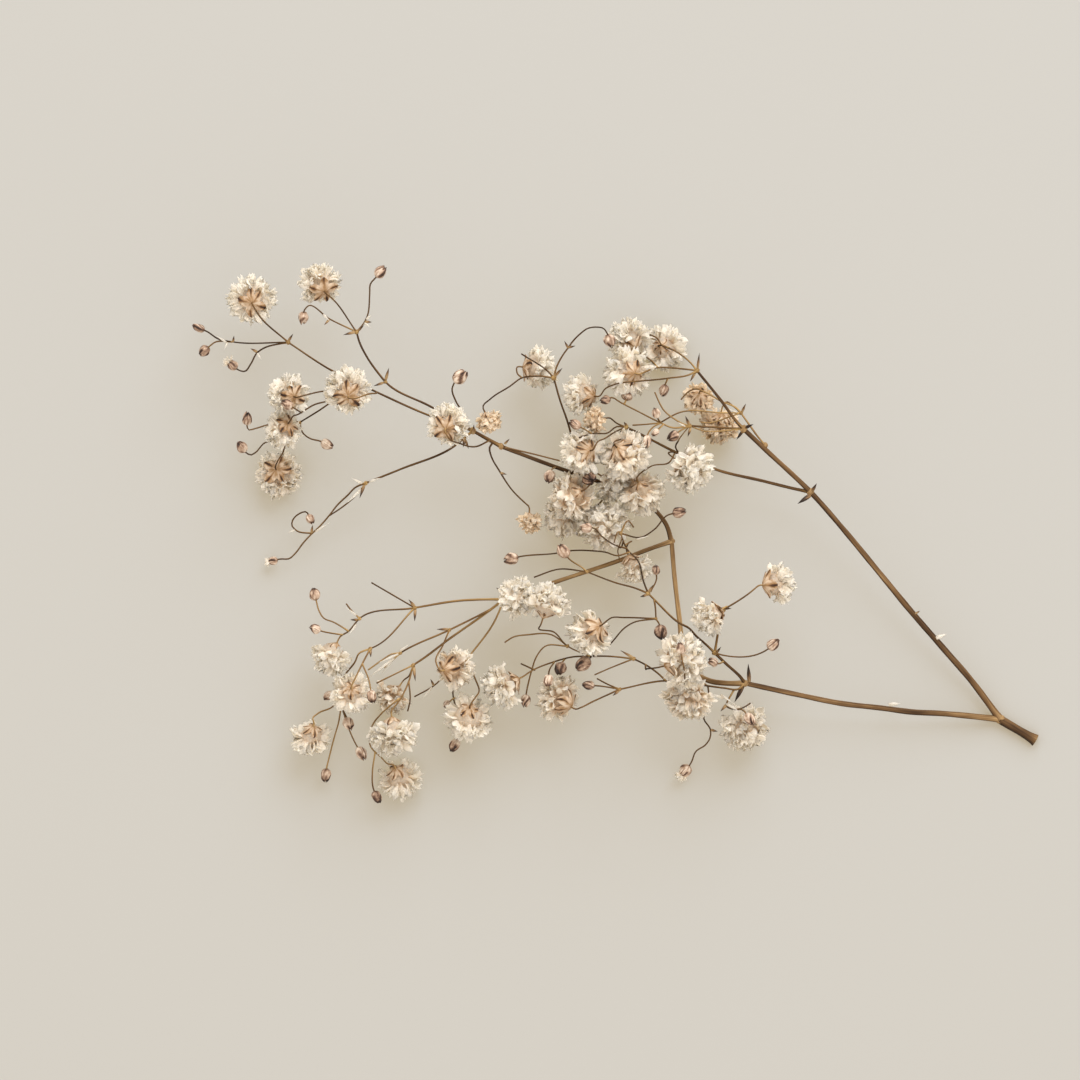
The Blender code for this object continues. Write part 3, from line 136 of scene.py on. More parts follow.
# %% Where the blooms are
Bloom = namedtuple("Bloom", "x y z radius calyx_x calyx_y side ochre", defaults=(False,))
BLOOMS = {
    1: Bloom(-58.1, 39.2, 12, 3.6, -57.9, 38.5, -1),
    2: Bloom(-47.1, 42.2, 13, 3.6, -45.9, 40.5, -1),
    3: Bloom(-42, 24.2, 16.5, 3.7, -41.8, 23, -1),
    4: Bloom(-52.3, 23.3, 12, 3.3, -51, 22.9, -1),
    5: Bloom(-25.1, 18.5, 16.5, 3.5, -25.6, 17.5, -1),
    6: Bloom(-18.4, 18.3, 15.5, 2.2, -19.3, 20.7, -1, True),
    7: Bloom(-11.7, 1.6, 8, 2.1, -11.8, 3.5, -1, True),
    8: Bloom(-9.6, 27.6, 7.5, 3.6, -12.6, 27.8, -1),
    9: Bloom(-3.2, 23.2, 10.5, 3, -1.15, 23, -1),
    10: Bloom(4.8, 32.6, 8, 2.7, 5.9, 31.1, -1),
    11: Bloom(4.4, 27, 12.4, 3.3, 5.7, 26.7, -1),
    12: Bloom(11, 31.1, 2.1, 3, 10.1, 31.3, -1),
    13: Bloom(16.4, 22.3, 5.5, 2.6, 16.6, 23.3, -1, True),
    14: Bloom(-1.3, 19, 13, 2.2, 0.5, 19.2, 1, True),
    15: Bloom(-3.3, 13.6, 12.5, 3.1, -1.8, 13.9, -1),
    16: Bloom(4.2, 12.9, 13, 3.2, 2.9, 14.3, -1),
    17: Bloom(15.6, 10.4, 12, 3.8, 12.8, 12.3, 1),
    18: Bloom(20, 17.5, 4, 3.2, 20.3, 20, -1, True),
    19: Bloom(-53.1, 16.9, 10.5, 3.1, -52, 18.3, -1),
    20: Bloom(-53.5, 9.6, 2.5, 3.7, -54, 10.7, -1),
    21: Bloom(-4.8, 6.3, 11.5, 2.9, -3.2, 7.1, -1),
    22: Bloom(-6.2, 2.8, 6.5, 3.1, -3.8, 3.4, 1),
    23: Bloom(0.6, 1.6, 9.5, 3.4, 2, -0.6, 1),
    24: Bloom(7, 6.8, 9.5, 3, 6.4, 8.5, -1),
    25: Bloom(2, 8.6, 9, 2.2, 0, 9.8, 1),
    26: Bloom(5.7, -6, 8, 2.9, 4.8, -3.6, -1),
    27: Bloom(-45.1, -21, 8.5, 3.4, -43.9, -18.3, 1),
    28: Bloom(-41.4, -26.8, 9.5, 3.4, -41.4, -25.8, -1),
    29: Bloom(-48.3, -34.3, 5.5, 3.4, -47.9, -32.2, -1),
    30: Bloom(-23.9, -22.2, 9.5, 3.5, -25.8, -22.6, -1),
    31: Bloom(-34.5, -34.1, 9.5, 4, -34.7, -30.6, 1),
    32: Bloom(-33.3, -41.2, 2.7, 3.7, -34.1, -39.3, -1),
    33: Bloom(-13.7, -10.5, 11, 2.9, -13.3, -11.3, 1),
    34: Bloom(-22, -30.9, 8, 3.6, -21.7, -29.1, -1),
    35: Bloom(-16.2, -25.5, 9, 3.3, -13.1, -23.9, 1),
    36: Bloom(-7.2, -27.1, 8, 3.6, -5, -28.6, -1),
    37: Bloom(-2, -16.6, 12.5, 3.6, -0.2, -15.4, -1),
    38: Bloom(18.1, -13.8, 15.5, 3, 20.1, -12.6, 1),
    39: Bloom(29.9, -8.2, 14, 3.4, 27.3, -8.5, -1),
    40: Bloom(14.1, -21.1, 17, 3.8, 8.7, -22.4, 1),
    41: Bloom(14.7, -27.6, 12, 3.7, 15.2, -24.9, 1),
    42: Bloom(24.3, -33, 6, 3.9, 23.8, -30.6, 1),
    43: Bloom(-8.7, -11.2, 14.5, 3.2, -9.5, -13.9, 1),
    44: Bloom(-35, -27.7, 4, 3, -33.6, -25.6, 1),
}
print(len(BLOOMS), "blooms,", sum(bloom.ochre for bloom in BLOOMS.values()), "of them withered")

# %% [markdown]
# ## Which way a bloom faces
# The flat offset from calyx to middle is known, and so is the whole distance between them. What
# the flat offset leaves of it must be the rise, as in any right-angled triangle.

# %% The axis and the base of a bloom
CENTRE_AHEAD = 0.86  # from the calyx base to the middle of the head, in radii


def bloom_axis(bloom):
    """The flat offset from calyx to middle, and the rise that makes it CENTRE_AHEAD radii long."""
    flat = np.array([bloom.x - bloom.calyx_x, bloom.y - bloom.calyx_y])
    reach = CENTRE_AHEAD * bloom.radius
    flat = flat * min(1.0, reach / np.linalg.norm(flat))
    rise = math.sqrt(max(reach * reach - flat @ flat, 0.0))
    return unit(np.array([flat[0], flat[1], bloom.side * rise]))


def bloom_base(bloom):
    """The place where the stalk meets the calyx."""
    middle = np.array([bloom.x, bloom.y, bloom.z])
    return middle - CENTRE_AHEAD * bloom.radius * bloom_axis(bloom)


print("Bloom 1 faces", bloom_axis(BLOOMS[1]).round(2))

# %% [markdown]
# ## Lists of twigs
# A spray is one main twig and all that grows from it: twigs with the points they pass, which end
# freely, in a bud or in a head, and joints, bracts and wisps of dried tissue. Only the stouter
# twigs name a thickness. The lists come first and the surfaces later, so a twig can be moved
# without reading any mesh code.

# %% A spray's lists
FINE = 0.45  # mm, the finest twigs and the stalks of buds
HEAD_STALK = 0.5  # mm, a head's stalk where it leaves its twig
BUD_LONG = 1.25  # an ordinary bud's length in widths
IN_LINE, INTO_CALYX = 1.2, 0.25  # mm behind and ahead of a calyx base, where its stalk is straight
WISP_TONE = 0.5  # white on the petals' ramp, even at the root
Twig = namedtuple("Twig", "path thick thin age bud_size bud_long bloom opening",
                  defaults=(None, BUD_LONG, None, False))
Bract = namedtuple("Bract", "root tip width tone")
SPRAYS = []


def resolve(points):
    """Joint names become places; heights left out run evenly by plan length between those given."""
    places = [np.array(JOINTS[point] if isinstance(point, str) else point, dtype=float) for point in points]
    known = [number for number, place in enumerate(places) if len(place) == 3]
    flat = np.array([place[:2] for place in places])
    run = np.concatenate([[0.0], np.cumsum(np.linalg.norm(np.diff(flat, axis=0), axis=1))])
    heights = np.interp(run, run[known], [places[number][2] for number in known])
    return np.column_stack([flat, heights])


class Spray:
    """The traced facts of one spray, in plan millimetres. Age 0 is pale straw and 1 is dark brown."""

    def __init__(self, name, age=0.5):
        self.name = name
        self.age = age
        self.twigs = []
        self.joints = []
        self.bracts = []
        self.wisps = []
        SPRAYS.append(self)

    def twig(self, *points, thick=FINE, thin=FINE, age=None, **ending):
        """A stem through the points, thick at the first and thin at the last; the rest says how it ends."""
        self.twigs.append(Twig(resolve(points), thick, thin, age or self.age, **ending))

    def bud(self, size, *points, long=BUD_LONG, opening=False, **stem):
        """A stalk through the points to the middle of a bud, which may have begun to open."""
        self.twig(*points, bud_size=size, bud_long=long, opening=opening, **stem)

    def head(self, number, *points, thick=HEAD_STALK, **stem):
        """A stalk through the points to the calyx of a bloom, which it meets in line."""
        base = bloom_base(BLOOMS[number])
        axis = bloom_axis(BLOOMS[number])
        self.twig(*points, tuple(base - axis * IN_LINE), tuple(base + axis * INTO_CALYX),
                  thick=thick, bloom=number, **stem)

    def joint(self, *names, radius):
        """Swellings of one radius at the named joints."""
        self.joints += [(np.array(JOINTS[name]), radius) for name in names]

    def bract(self, root, tip, width=0.9, tone=0.0):
        """A scale at a joint; tone is added to its colour's place in the ramp, so 0.4 makes it dark."""
        self.bracts.append(Bract(np.array(root), np.array(tip), width, tone))

    def wisp(self, root, tip, width=0.6):
        """A shred of white tissue that dried on to the twig."""
        self.wisps.append(Bract(np.array(root), np.array(tip), width, WISP_TONE))

    def tell(self):
        print(self.name, len(self.twigs), "twigs,", len(self.bracts), "bracts,", len(self.wisps), "wisps")


print("A twig keeps", ", ".join(Twig._fields))

# %% [markdown]
# ### The main stem
# The cut stub forks into two long bare stems, and the lower one carries the thick stems of the left
# half. It is the one part stout enough to read as wood, so it gets a list and later a finish of its
# own.

# %% The main stem
spray = Spray("main_stem")
spray.twig("stub", "fork", thick=1.9, thin=1.8)
spray.twig("fork", (61.7, -24), (58.2, -20), (51.8, -12.7), (47, -6.9), (41.2, 0.1), "R2", (27.3, 14.3),
           "R3", thick=1.42, thin=1.05, age=0.62)
spray.twig("fork", (56.6, -30), (52.5, -29.8), (47, -29.1), (40.2, -28.3), (33.3, -26.9), "B1", thick=1.3,
           thin=1.1, age=0.46)
spray.twig("B1", (21.1, -24.9, 7.3), (18.3, -24.5, 6.7), (15.3, -22.6, 5.8), (13.9, -19, 4.9),
           (13.3, -14.3, 4.2), (12.4, -6.3, 3.3), "C0", thick=1.2, thin=1.0, age=0.2)
spray.twig("C0", (11.2, 1.4, 3.4), (8.5, 4.7, 4.2), (1, 8.3, 6), (-6.3, 10.8, 8), "C1", thick=1.0,
           thin=0.9, age=0.54)
spray.twig("C0", (8, -2.6), (3.3, -4.4, 3.6), (-1.7, -6.1), (-8.3, -8.3, 5), "D1", thick=1.0, thin=0.9,
           age=0.43)
spray.twig("C1", (-11, 13.3, 10.5), (-5.7, 11.95, 10), thick=0.5)
spray.head(33, (-12.5, -9.7, 5.7), (-12.6, -10.9, 6.4))
spray.head(21, (-1.5, 9.1, 6.6), (-1.6, 8.9, 10), (-1.7, 8.2, 13.2))
spray.head(25, (-2.5, 9.4, 6.8), (-1.6, 10.3, 8.4))
spray.head(22, (1, 8.3, 6), (0.2, 5.4, 4.6), (-1.2, 4.3, 4.4))
spray.bud(1.1, (-7.3, 11.2, 8.3), (-8.1, 10.7, 9.4), (-8.4, 9.6, 10))
spray.bud(1.3, (-3, 9.6, 7), (-2.9, 9.9, 10.4), (-1.8, 9.2, 13), long=1.3)
spray.joint("fork", radius=1.1)
spray.joint("B1", "R2", "R3", radius=0.85)
spray.joint("C1", "D1", "A4", radius=0.7)
spray.joint("C0", radius=0.75)
spray.bract((35.1, 6.5, 8.9), (32.9, 5, 9.4), 1.3, tone=0.4)
spray.bract((35.4, 7.2, 8.9), (36.1, 8.4, 9.9), 1.0, tone=0.1)
spray.bract((24.2, 17.7, 11.4), (25.6, 18.3, 12.7), 1.0, tone=0.4)
spray.bract((23.8, 17.2, 10.8), (22.8, 15.8, 10.2), tone=0.4)
spray.bract((24.9, -24.7, 8.2), (24.7, -21.5, 9), 1.2, tone=0.4)
spray.bract((23.9, -25.3, 7.6), (22.5, -28, 7.2), 1.3, tone=0.45)
spray.bract((-16.1, -9.7, 6.4), (-17.3, -9, 7.2), 0.8)
spray.bract((-15.9, 15, 10.9), (-15, 15.9, 11.6), 0.7)
spray.bract((52.7, -13.3, 5.6), (53.5, -12.8, 5.9), 0.6)
spray.wisp((56.2, -17.4, 4.6), (57.9, -16.7, 4.8), 1.2)
spray.wisp((48.3, -28.6, 2.9), (50.3, -28.3, 3.1), 1.2)
spray.tell()

# %% [markdown]
# ### The top right spray
# From the tip of the upper stem. It ends in four heads that crowd together, one of them hanging
# face down to the table.

# %% The top right spray
spray = Spray("spray_top_right", age=0.4)
spray.twig("R3", (23, 18.4, 12), (20, 22.4), "R1", thick=0.75, thin=0.65, age=0.64)
spray.twig("R1", (15.6, 27.9), (11.5, 31, 8.8), (10.4, 31.4, 7.8), (9.5, 32.7, 7.6), (8.25, 33.3, 7.4),
           thick=0.5)
spray.head(12, (11.5, 31, 8.8), (10.6, 31.4, 7.9))
spray.head(11, "R1", (14.4, 27.4), (9.6, 27.7, 12.3))
spray.head(10, (9.6, 27.7, 12.3), (8.4, 29, 11))
spray.head(9, "R1", (15.3, 26.7), (11.3, 25.9, 15), (6.5, 25.4, 16.1), (2.9, 25, 15.6), (0.9, 24.2, 14.3))
spray.bud(0.85, (11.3, 25.9, 15), (10.9, 25.1, 14.4), (10.6, 23.9, 13.4), long=1.8)
spray.joint("R1", radius=0.6)
spray.bract((16.2, 27.5, 13.8), (16.5, 30.1, 14.6), 0.8)
spray.bract((15.9, 27, 13.3), (15, 25.4, 12.6), 0.8)
spray.tell()

# %% [markdown]
# ### The right spray
# A fine side branch beside the upper stem, with two of the withered heads.

# %% The right spray
spray = Spray("spray_right", age=0.24)
spray.twig("A4", (26.2, 16.4, 9), (25, 18.1, 8.6), "R4", thick=0.55, thin=0.5)
spray.head(13, "R4", (23, 20.8), (20.1, 22.2, 9.2), (17.6, 23.6, 9.4))
spray.twig((17.6, 23.6, 9.4), (15.9, 24.2, 9.6), (14.7, 23.7), (13.5, 22.4, 9))
spray.twig("R4", (20.7, 20.2, 9.2), (13.1, 20.2, 9.6), (10.1, 18.6, 9.6))
spray.twig("R4", (21.75, 19.6, 9), (17.8, 18.5, 9.2), (16.8, 18.6, 9.2))
spray.head(18, "R4", (22.4, 21.2, 7.4), (21, 22, 5.8), thick=0.45)
spray.joint("R4", radius=0.5)
spray.bract((23.7, 20.4, 8.7), (24.3, 21.7, 9.5), 0.8)
spray.wisp((22.9, 20.3, 8.9), (21.2, 20.9, 9.4), 0.5)
spray.tell()

# %% [markdown]
# ### The top centre spray
# Short twigs with many small buds, in the thick of the upper group.

# %% The top centre spray
spray = Spray("spray_top_centre", age=0.36)
spray.twig("R3", (22, 17.6, 10.9), (18.5, 17.8, 11.8), "N5", thick=0.6, thin=0.55)
spray.twig("N5", (14.4, 18.1), (12.3, 19.2, 13), (10.6, 20.6), (9.75, 22.1), (9.1, 23.6, 13.4), thick=0.5)
spray.bud(0.85, "N5", (12, 17.7), (10.1, 18.5, 13), (5.9, 20.6), (3.2, 22, 13.5), (2, 22.7),
          (0.9, 22.3, 13.8), thick=0.5)
spray.bud(1.1, (4, 21.6, 13.4), (4.3, 22.2, 13.3), (4.6, 23.2, 12.6))
spray.bud(1.0, "N5", (13.5, 17.3, 12.3), (12.2, 16.3, 12.6))
spray.bud(0.7, (10.6, 18.3, 12.9), (9.9, 17.6, 13.4), (9.2, 16.9, 13.6))
spray.bud(0.8, (10.1, 18.5, 13), (8.6, 17.6, 13.9), (7.9, 16.5), (7.8, 15.4, 14.2), long=1.7)
spray.bud(0.8, (10.1, 18.5, 13), (9.6, 19.2, 13.8), (9.3, 20.1, 14.5), long=1.5)
spray.twig((10.1, 18.5, 13), (7, 18.2, 13.5), (5.4, 18.1, 13.8))
spray.joint("N5", radius=0.55)
spray.bract((14.8, 18.2, 12.6), (14.2, 19.6, 13.3))
spray.twig("R3", (20.8, 17.2, 11.4), (17.5, 17.1, 12), "N5", thick=0.42, thin=0.4)
spray.twig((12.7, 15, 9.6), (13.6, 16.4, 11.4), "N5", thick=0.4, thin=0.38)
spray.bract((15.1, 17.7, 12.2), (14.6, 16.2, 12), 0.8)
spray.wisp((14.2, 17.9, 12.6), (12.9, 18.6, 13.2), 0.5)
spray.tell()

# %% [markdown]
# ### The side spray
# One straight twig that runs in from the right under the others and fans out into five heads.

# %% The side spray
spray = Spray("spray_side", age=0.55)
spray.twig("R2", (33.6, 7.3, 7.8), (27, 8.9, 7.7), (19.3, 10.8, 7.5), (15.9, 12.2, 7.6), (13.8, 13.1, 8),
           (5.8, 17.1, 10.8), "M1", thick=0.8, thin=0.6, age=0.53)
spray.twig("M1", (2.9, 17.9, 12), (1.2, 16.8, 13.5), (-1.4, 16.7, 14.8), (-3.5, 16, 15.8))
spray.bud(0.85, (-1.4, 16.7, 14.8), (-2.6, 17.4, 15.6), (-4.1, 18.2, 16), long=1.5)
spray.head(14, "M1", (2.7, 18.5, 12.2), (2.2, 18.9, 12.8), thick=0.45)
spray.head(15, "M1", (2.5, 17), (0.8, 15.9, 14), (-0.6, 15.1, 15.8), thick=0.45)
spray.head(16, (5.8, 17.1, 10.8), (3.9, 16, 12), thick=0.45)
spray.head(17, (13.5, 13.2, 8.1), (12, 13.7, 9.6), (11.4, 13.4, 11.2))
spray.head(24, (12.6, 13.7, 8.4), (11.6, 12, 9.8), (8.35, 11.2, 12.4), thick=0.45)
spray.twig((13.2, 13.4, 8.2), (12.6, 14.6, 9.4), (13.1, 15.6, 10.4))
spray.joint("M1", radius=0.6)
spray.bract((4.2, 17.6, 11.8), (3.2, 16.9, 12.3))
spray.bract((4.4, 18.1, 11.8), (4, 18.6, 12.6), 0.8)
spray.tell()

# %% [markdown]
# ### The top left spray
# A twig that climbs out of the middle and bows over to the right in a thin arch.

# %% The top left spray
spray = Spray("spray_top_left", age=0.6)
spray.twig((-4.2, 10.1, 7.4), (-4.4, 13, 8), (-4.8, 16.5, 8.6), (-5.4, 18.7), (-6.6, 22.1, 10.5), "X1",
           thick=0.6, thin=0.5)
spray.bud(1.1, "X1", (-7.35, 27.5, 12.4), (-6.3, 29.6), (-5.3, 31, 13.6), (-4.5, 32.1), (-3.3, 33.3),
          (-2, 34.2, 15), (-0.5, 34.4), (0.55, 34.2), (1.2, 33.3, 14.6), (1.6, 32.2, 14), thick=0.5)
spray.twig("X1", (-8.4, 26.8, 12.3), (-13.1, 30, 12.8))
spray.head(6, "X1", (-10.5, 26.3, 12), (-13, 26, 11.4), (-15, 24.6, 12.3), (-18.3, 22.4, 15))
spray.head(8, (-13, 26, 11.4), (-13.8, 26.8, 9.8), thick=0.45)
spray.joint("X1", radius=0.6)
spray.bract((-7.6, 26.2, 12.3), (-6.3, 27.6, 13.1))
spray.bract((-5.3, 30.9, 13.6), (-6, 32.2, 14.2), 0.7)
spray.bract((-5.3, 31, 13.6), (-4.1, 31.3, 14.3), 0.7)
spray.tell()

# %% [markdown]
# ### The upper left spray
# The widest fan: two twigs that run side by side, then split into single heads and buds on long
# stalks.

# %% The upper left spray
spray = Spray("spray_upper_left", age=0.56)
spray.twig("C1", (-18.9, 15.9, 11), "C3", thick=0.85, thin=0.8)
spray.twig("C3", (-28.6, 19.8, 11.7), (-36.7, 23.4, 11.9), "V1", (-44.8, 27.3, 12.2), "L1", thick=0.6,
           thin=0.5, age=0.6)
spray.twig("C3", (-28.2, 21.2, 12.3), "U1", (-36.7, 26.5, 13.7), (-39, 29.8), (-40.1, 32.1), "U2",
           thick=0.6, thin=0.55, age=0.68)
spray.head(2, "U2", (-45.1, 39.6, 16), thick=0.45)
spray.bud(1.05, "U2", (-45, 35.75, 14.6), (-48.6, 37.9, 14.4), (-49.2, 37.2, 14), (-49.4, 36, 13.2))
spray.bud(1.1, "U2", (-39.2, 35.2, 14.8), (-38.8, 36), (-38.3, 40), (-38.2, 41.5, 15.6), (-37.2, 42.7),
          (-36.5, 43.5, 16))
spray.bud(1.35, (-22.4, 17.7, 11.6), (-22.8, 20, 12.4), (-24, 22.1, 13.6), (-24.6, 24.2),
          (-24.2, 25.2, 15.6), (-23.3, 26.1, 16.2), thick=0.5)
spray.head(5, (-18.4, 15.6, 10.9), (-20.4, 14.6, 13.4), (-23.2, 15, 18), (-25.2, 16, 20.5))
spray.head(7, (-17.8, 15.3, 10.8), (-18.4, 14.4, 10.6), (-18.2, 13.2, 10.4), (-16.7, 10.4, 9.8),
           (-14.55, 7.2), (-12.3, 5, 8.4))
spray.head(1, "L1", (-56.6, 36.2, 14.8))
spray.bud(0.8, "L1", (-61.2, 32, 12.2), (-63.6, 32.5), (-65.4, 33.7), (-66.8, 34.3, 12.2), long=1.6)
spray.bud(1.0, (-61.2, 32, 12.2), (-64.2, 31.9), (-65, 31.3, 11.6), (-65.9, 30.5, 11))
spray.bud(1.0, "L1", (-53.1, 31.7), (-56.1, 30.9, 11.8), (-57.1, 30.2), (-58.2, 28.3, 11),
          (-59.2, 27.1, 10.4), (-60.2, 27.3, 10.1), (-61.2, 28.1, 10.3), thick=0.5, long=1.1, opening=True)
spray.head(4, "V1", (-42, 23.9, 11.3), (-45.9, 23.8, 11.8), (-49.4, 23, 14.4))
spray.head(3, "V1", (-37.1, 23.4, 17.4), (-38.8, 23.1, 21), (-40.5, 22.5, 21.7))
spray.head(19, (-41.5, 23.9, 11.4), (-45.5, 22.1, 11.6), (-47.4, 21.6), (-50.3, 19.9, 12.6),
           (-51.2, 19.5, 13.6))
spray.twig((-43.3, 23.1, 11.5), (-46.05, 21.1, 10.2), "K1", thick=0.5)
spray.bud(1.0, "K1", (-49.6, 16.9, 8), (-48.3, 15.9), (-46.7, 15.5), (-45.6, 15, 8.2))
spray.head(20, "K1", (-51.4, 17.4, 6.6), (-52.4, 15.4, 6.4), (-52.9, 13.6, 7.2), (-53.7, 12.3, 8),
           thick=0.45)
spray.bud(1.05, "K1", (-51.5, 18.9, 6.8), (-55.9, 18.1, 6.8), (-57.5, 17.6), (-58.65, 17.4, 7.8),
          (-58.9, 18.3), (-58.8, 19.2, 8.6))
spray.bud(1.0, (-52.4, 15.4, 6.4), (-56, 15.2, 6.4), (-57.5, 13.6), (-58.2, 13.2, 6.8), (-59.1, 13.6),
          (-59.7, 14.5, 7.4))
spray.bud(0.95, (-49.7, 20.2, 12.4), (-50.2, 20.5, 15), (-51, 21, 16.4), (-52, 21.5, 17))
spray.joint("C3", radius=0.75)
spray.joint("U2", "L1", radius=0.55)
spray.bract((-35.7, 25.6, 13.7), (-35.1, 27.7, 14.4))
spray.bract((-36, 25.2, 13.4), (-37.7, 24.6, 13.9), 0.8)
spray.bract((-40.7, 33.6, 14.6), (-42.7, 33.1, 15))
spray.bract((-40.4, 33.7, 14.4), (-39.2, 34.7, 15.4), 0.8)
spray.bract((-61.1, 31.9, 12.2), (-60.9, 33.1, 12.8), 0.7)
spray.bract((-45, 35.7, 14.6), (-45.9, 34.7, 15), 0.7)
spray.bract((-16.6, 10.2, 9.8), (-15.5, 9.9, 10.4), 0.7)
spray.joint("V1", "U1", "K1", radius=0.45)
spray.bract((-51.9, 32.1, 12.8), (-51, 33.4, 13.6), 0.8)
spray.bract((-57.1, 30.3, 11.5), (-58.2, 30.9, 12), 0.8)
spray.bract((-39.1, 35.3, 14.8), (-37.9, 35.2, 15.2), 0.8)
spray.bract((-21.1, 16.6, 11.9), (-21, 18.2, 12.6))
spray.wisp((-62.2, 31.9, 12.3), (-63.9, 33, 12.9))
spray.wisp((-62, 31.9, 12.2), (-62.6, 30.6, 12.6), 0.5)
spray.wisp((-57.1, 30.2, 11.5), (-56.4, 29, 11.9))
spray.wisp((-46.1, 36.6, 14.6), (-45, 35.4, 15), 0.7)
spray.wisp((-38.9, 35.7, 14.9), (-38, 36.4, 15.6), 0.7)
spray.wisp((-39.2, 35.1, 14.9), (-38.1, 34.3, 15.4))
spray.tell()

# %% [markdown]
# ### The low left spray
# One drooping twig with two buds and no head.

# %% The low left spray
spray = Spray("spray_left_low", age=0.46)
spray.twig("C3", (-22.6, 16, 10.9), (-24.2, 14.7, 10.2), (-33.3, 10.8, 8), "W1", thick=0.6, thin=0.55)
spray.bud(0.8, "W1", (-40.8, 7.8), (-42.1, 6.5, 5.5), (-43.8, 4.9), (-45.3, 3, 4.5), (-46.9, 1.2),
          (-48.1, 0.1, 3.4), (-49.6, -1.5), (-50.9, -3.2), (-51.9, -4.1, 2.4), (-53.6, -4.2, 2),
          (-54.7, -4.5, 1.9), thick=0.5, long=1.3, opening=True)
spray.twig("W1", (-40.3, 6.9, 5.8), (-42.9, 4.6, 4.8), (-45.3, 3, 4.5))
spray.bud(0.85, (-48.1, 0.1, 3.4), (-50.75, 0.6, 3.2), (-51.5, 1.5), (-51.3, 2.4, 3.4), (-50.4, 3.3),
          (-49.1, 3.7, 3.8), (-48.4, 2.5, 3.9))
spray.joint("W1", radius=0.5)
spray.bract((-22.5, 16.1, 11), (-22.8, 14.4, 11.6), 1.0)
spray.bract((-39.3, 8.3, 6.4), (-40.1, 6, 6.9))
spray.bract((-48.2, 0.2, 3.5), (-48, 1.6, 4.2), 0.8)
spray.bract((-22.4, 15.6, 10.9), (-21.9, 14.2, 11.5), 0.8)
spray.wisp((-39.6, 8.4, 6.3), (-41.6, 9.4, 7), 0.7)
spray.wisp((-38.9, 8.6, 6.4), (-36.4, 9.4, 7.2), 0.8)
spray.wisp((-39.7, 7.6, 6), (-42.2, 5.2, 6.3), 0.9)
spray.wisp((-47.6, 0.4, 3.6), (-45.2, 1.9, 4.2))
spray.wisp((-50.9, 0.7, 3.2), (-52.2, 0.2, 3.6), 0.5)
spray.tell()

# %% [markdown]
# ### The lower left spray
# A fork of fine twigs that ends in three heads and a fringe of buds.

# %% The lower left spray
spray = Spray("spray_lower_left", age=0.36)
spray.twig("D1", (-18.5, -10.9, 7.2), (-23.3, -11.1, 8.2), "P2", thick=0.65, thin=0.55)
spray.twig("P2", (-38.1, -8.1, 10), age=0.7)
spray.head(27, "P2", "P1", (-41.9, -16.2, 9.4))
spray.twig("P2", (-37.6, -18.8), "P3", thick=0.5)
spray.twig("P1", (-41.8, -12.3), (-42.3, -11.6, 10.2))
spray.bud(1.0, (-41.9, -16.2, 9.4), (-44.4, -14.7, 9.9), (-46.1, -14), (-46.9, -12.7, 9.2), (-47.3, -11.2),
          (-47.6, -10.1, 8.6))
spray.bud(0.9, (-42.9, -16.8, 9.1), (-44.9, -16.5, 10.2), (-46.3, -16.2), (-47.4, -15.8, 11.2))
spray.head(29, "P3", (-40.1, -19.85, 8.4), (-40.9, -21.4, 7), (-42.7, -23.8, 4.6), (-43.5, -26, 4.2),
           (-44.4, -28.6, 4.8), (-47, -29.9, 7), (-47.9, -30.9, 8.8))
spray.head(28, "P3", (-39.6, -21.6, 11.2), (-40.7, -23.9, 13.6))
spray.bud(0.9, (-43.5, -26, 4.2), (-44.3, -26.3, 5), (-45.3, -27, 5.6))
spray.bud(1.0, (-39.6, -21.6, 11.2), (-38.4, -24.6, 13.4), (-38, -27, 14.2))
spray.bud(1.1, (-43.5, -26, 4.2), (-43.1, -29, 4.8), (-42.4, -30.4, 5.8), (-42, -31.6, 6.5))
spray.bud(1.1, (-43.2, -28.6, 4.7), (-43.7, -31.6, 4.4), (-44.4, -34, 3.9), (-45.3, -37.5, 3.4),
          (-45.7, -39.2, 3), (-45.8, -40.3, 2.7))
spray.bud(1.1, (-43.2, -28.6, 4.7), (-41.9, -32.7, 3.8), (-41, -34.7, 4.2), (-39.9, -36.6, 5))
spray.joint("P2", radius=0.5)
spray.bract((-30.8, -12.5, 9), (-30.9, -14.6, 9.5))
spray.bract((-30.9, -12.1, 9.2), (-31.9, -10.9, 9.8))
spray.joint("P1", "P3", radius=0.45)
spray.bract((-40.3, -14.3, 9.4), (-41.6, -14.3, 9.9), 0.8)
spray.bract((-38.3, -19.2, 8.6), (-38.2, -20.6, 9), 0.8)
spray.wisp((-40.4, -13.7, 9.5), (-42.4, -12.2, 10.1))
spray.wisp((-40.6, -15, 9.4), (-41.9, -16.9, 9.9))
spray.tell()

# %% [markdown]
# ### The lower inner spray
# It runs beside the last one and carries four heads, the lowest resting on the table.

# %% The lower inner spray
spray = Spray("spray_lower_inner", age=0.36)
spray.twig("D1", (-18.2, -12.6, 6.3), (-24.9, -17.35, 6.5), (-30.4, -21.4, 6.9), "Q1", thick=0.65,
           thin=0.55)
spray.twig((-18.2, -12.6, 6.3), "Q2", (-32.9, -19.6, 7.9), "Q3", thick=0.55, thin=0.5)
spray.twig("Q1", (-37.3, -24.9, 7.6))
spray.head(31, "Q1", (-31.9, -24.6, 7.4), (-33.9, -28.4, 8.7))
spray.twig((-31.9, -24.6, 7.4), (-31.7, -27.8, 7.3), (-32.1, -29.6, 7.2))
spray.head(44, "Q1", (-31.8, -23.6, 5.4), thick=0.45)
spray.head(30, "Q2", (-26.2, -18.6, 10.5), (-27.3, -21.4, 12.6))
spray.twig("Q3", (-34.9, -20.1), (-36, -20.8), (-38.7, -22.7, 6.8))
spray.twig("Q3", (-36, -22.3, 7.4))
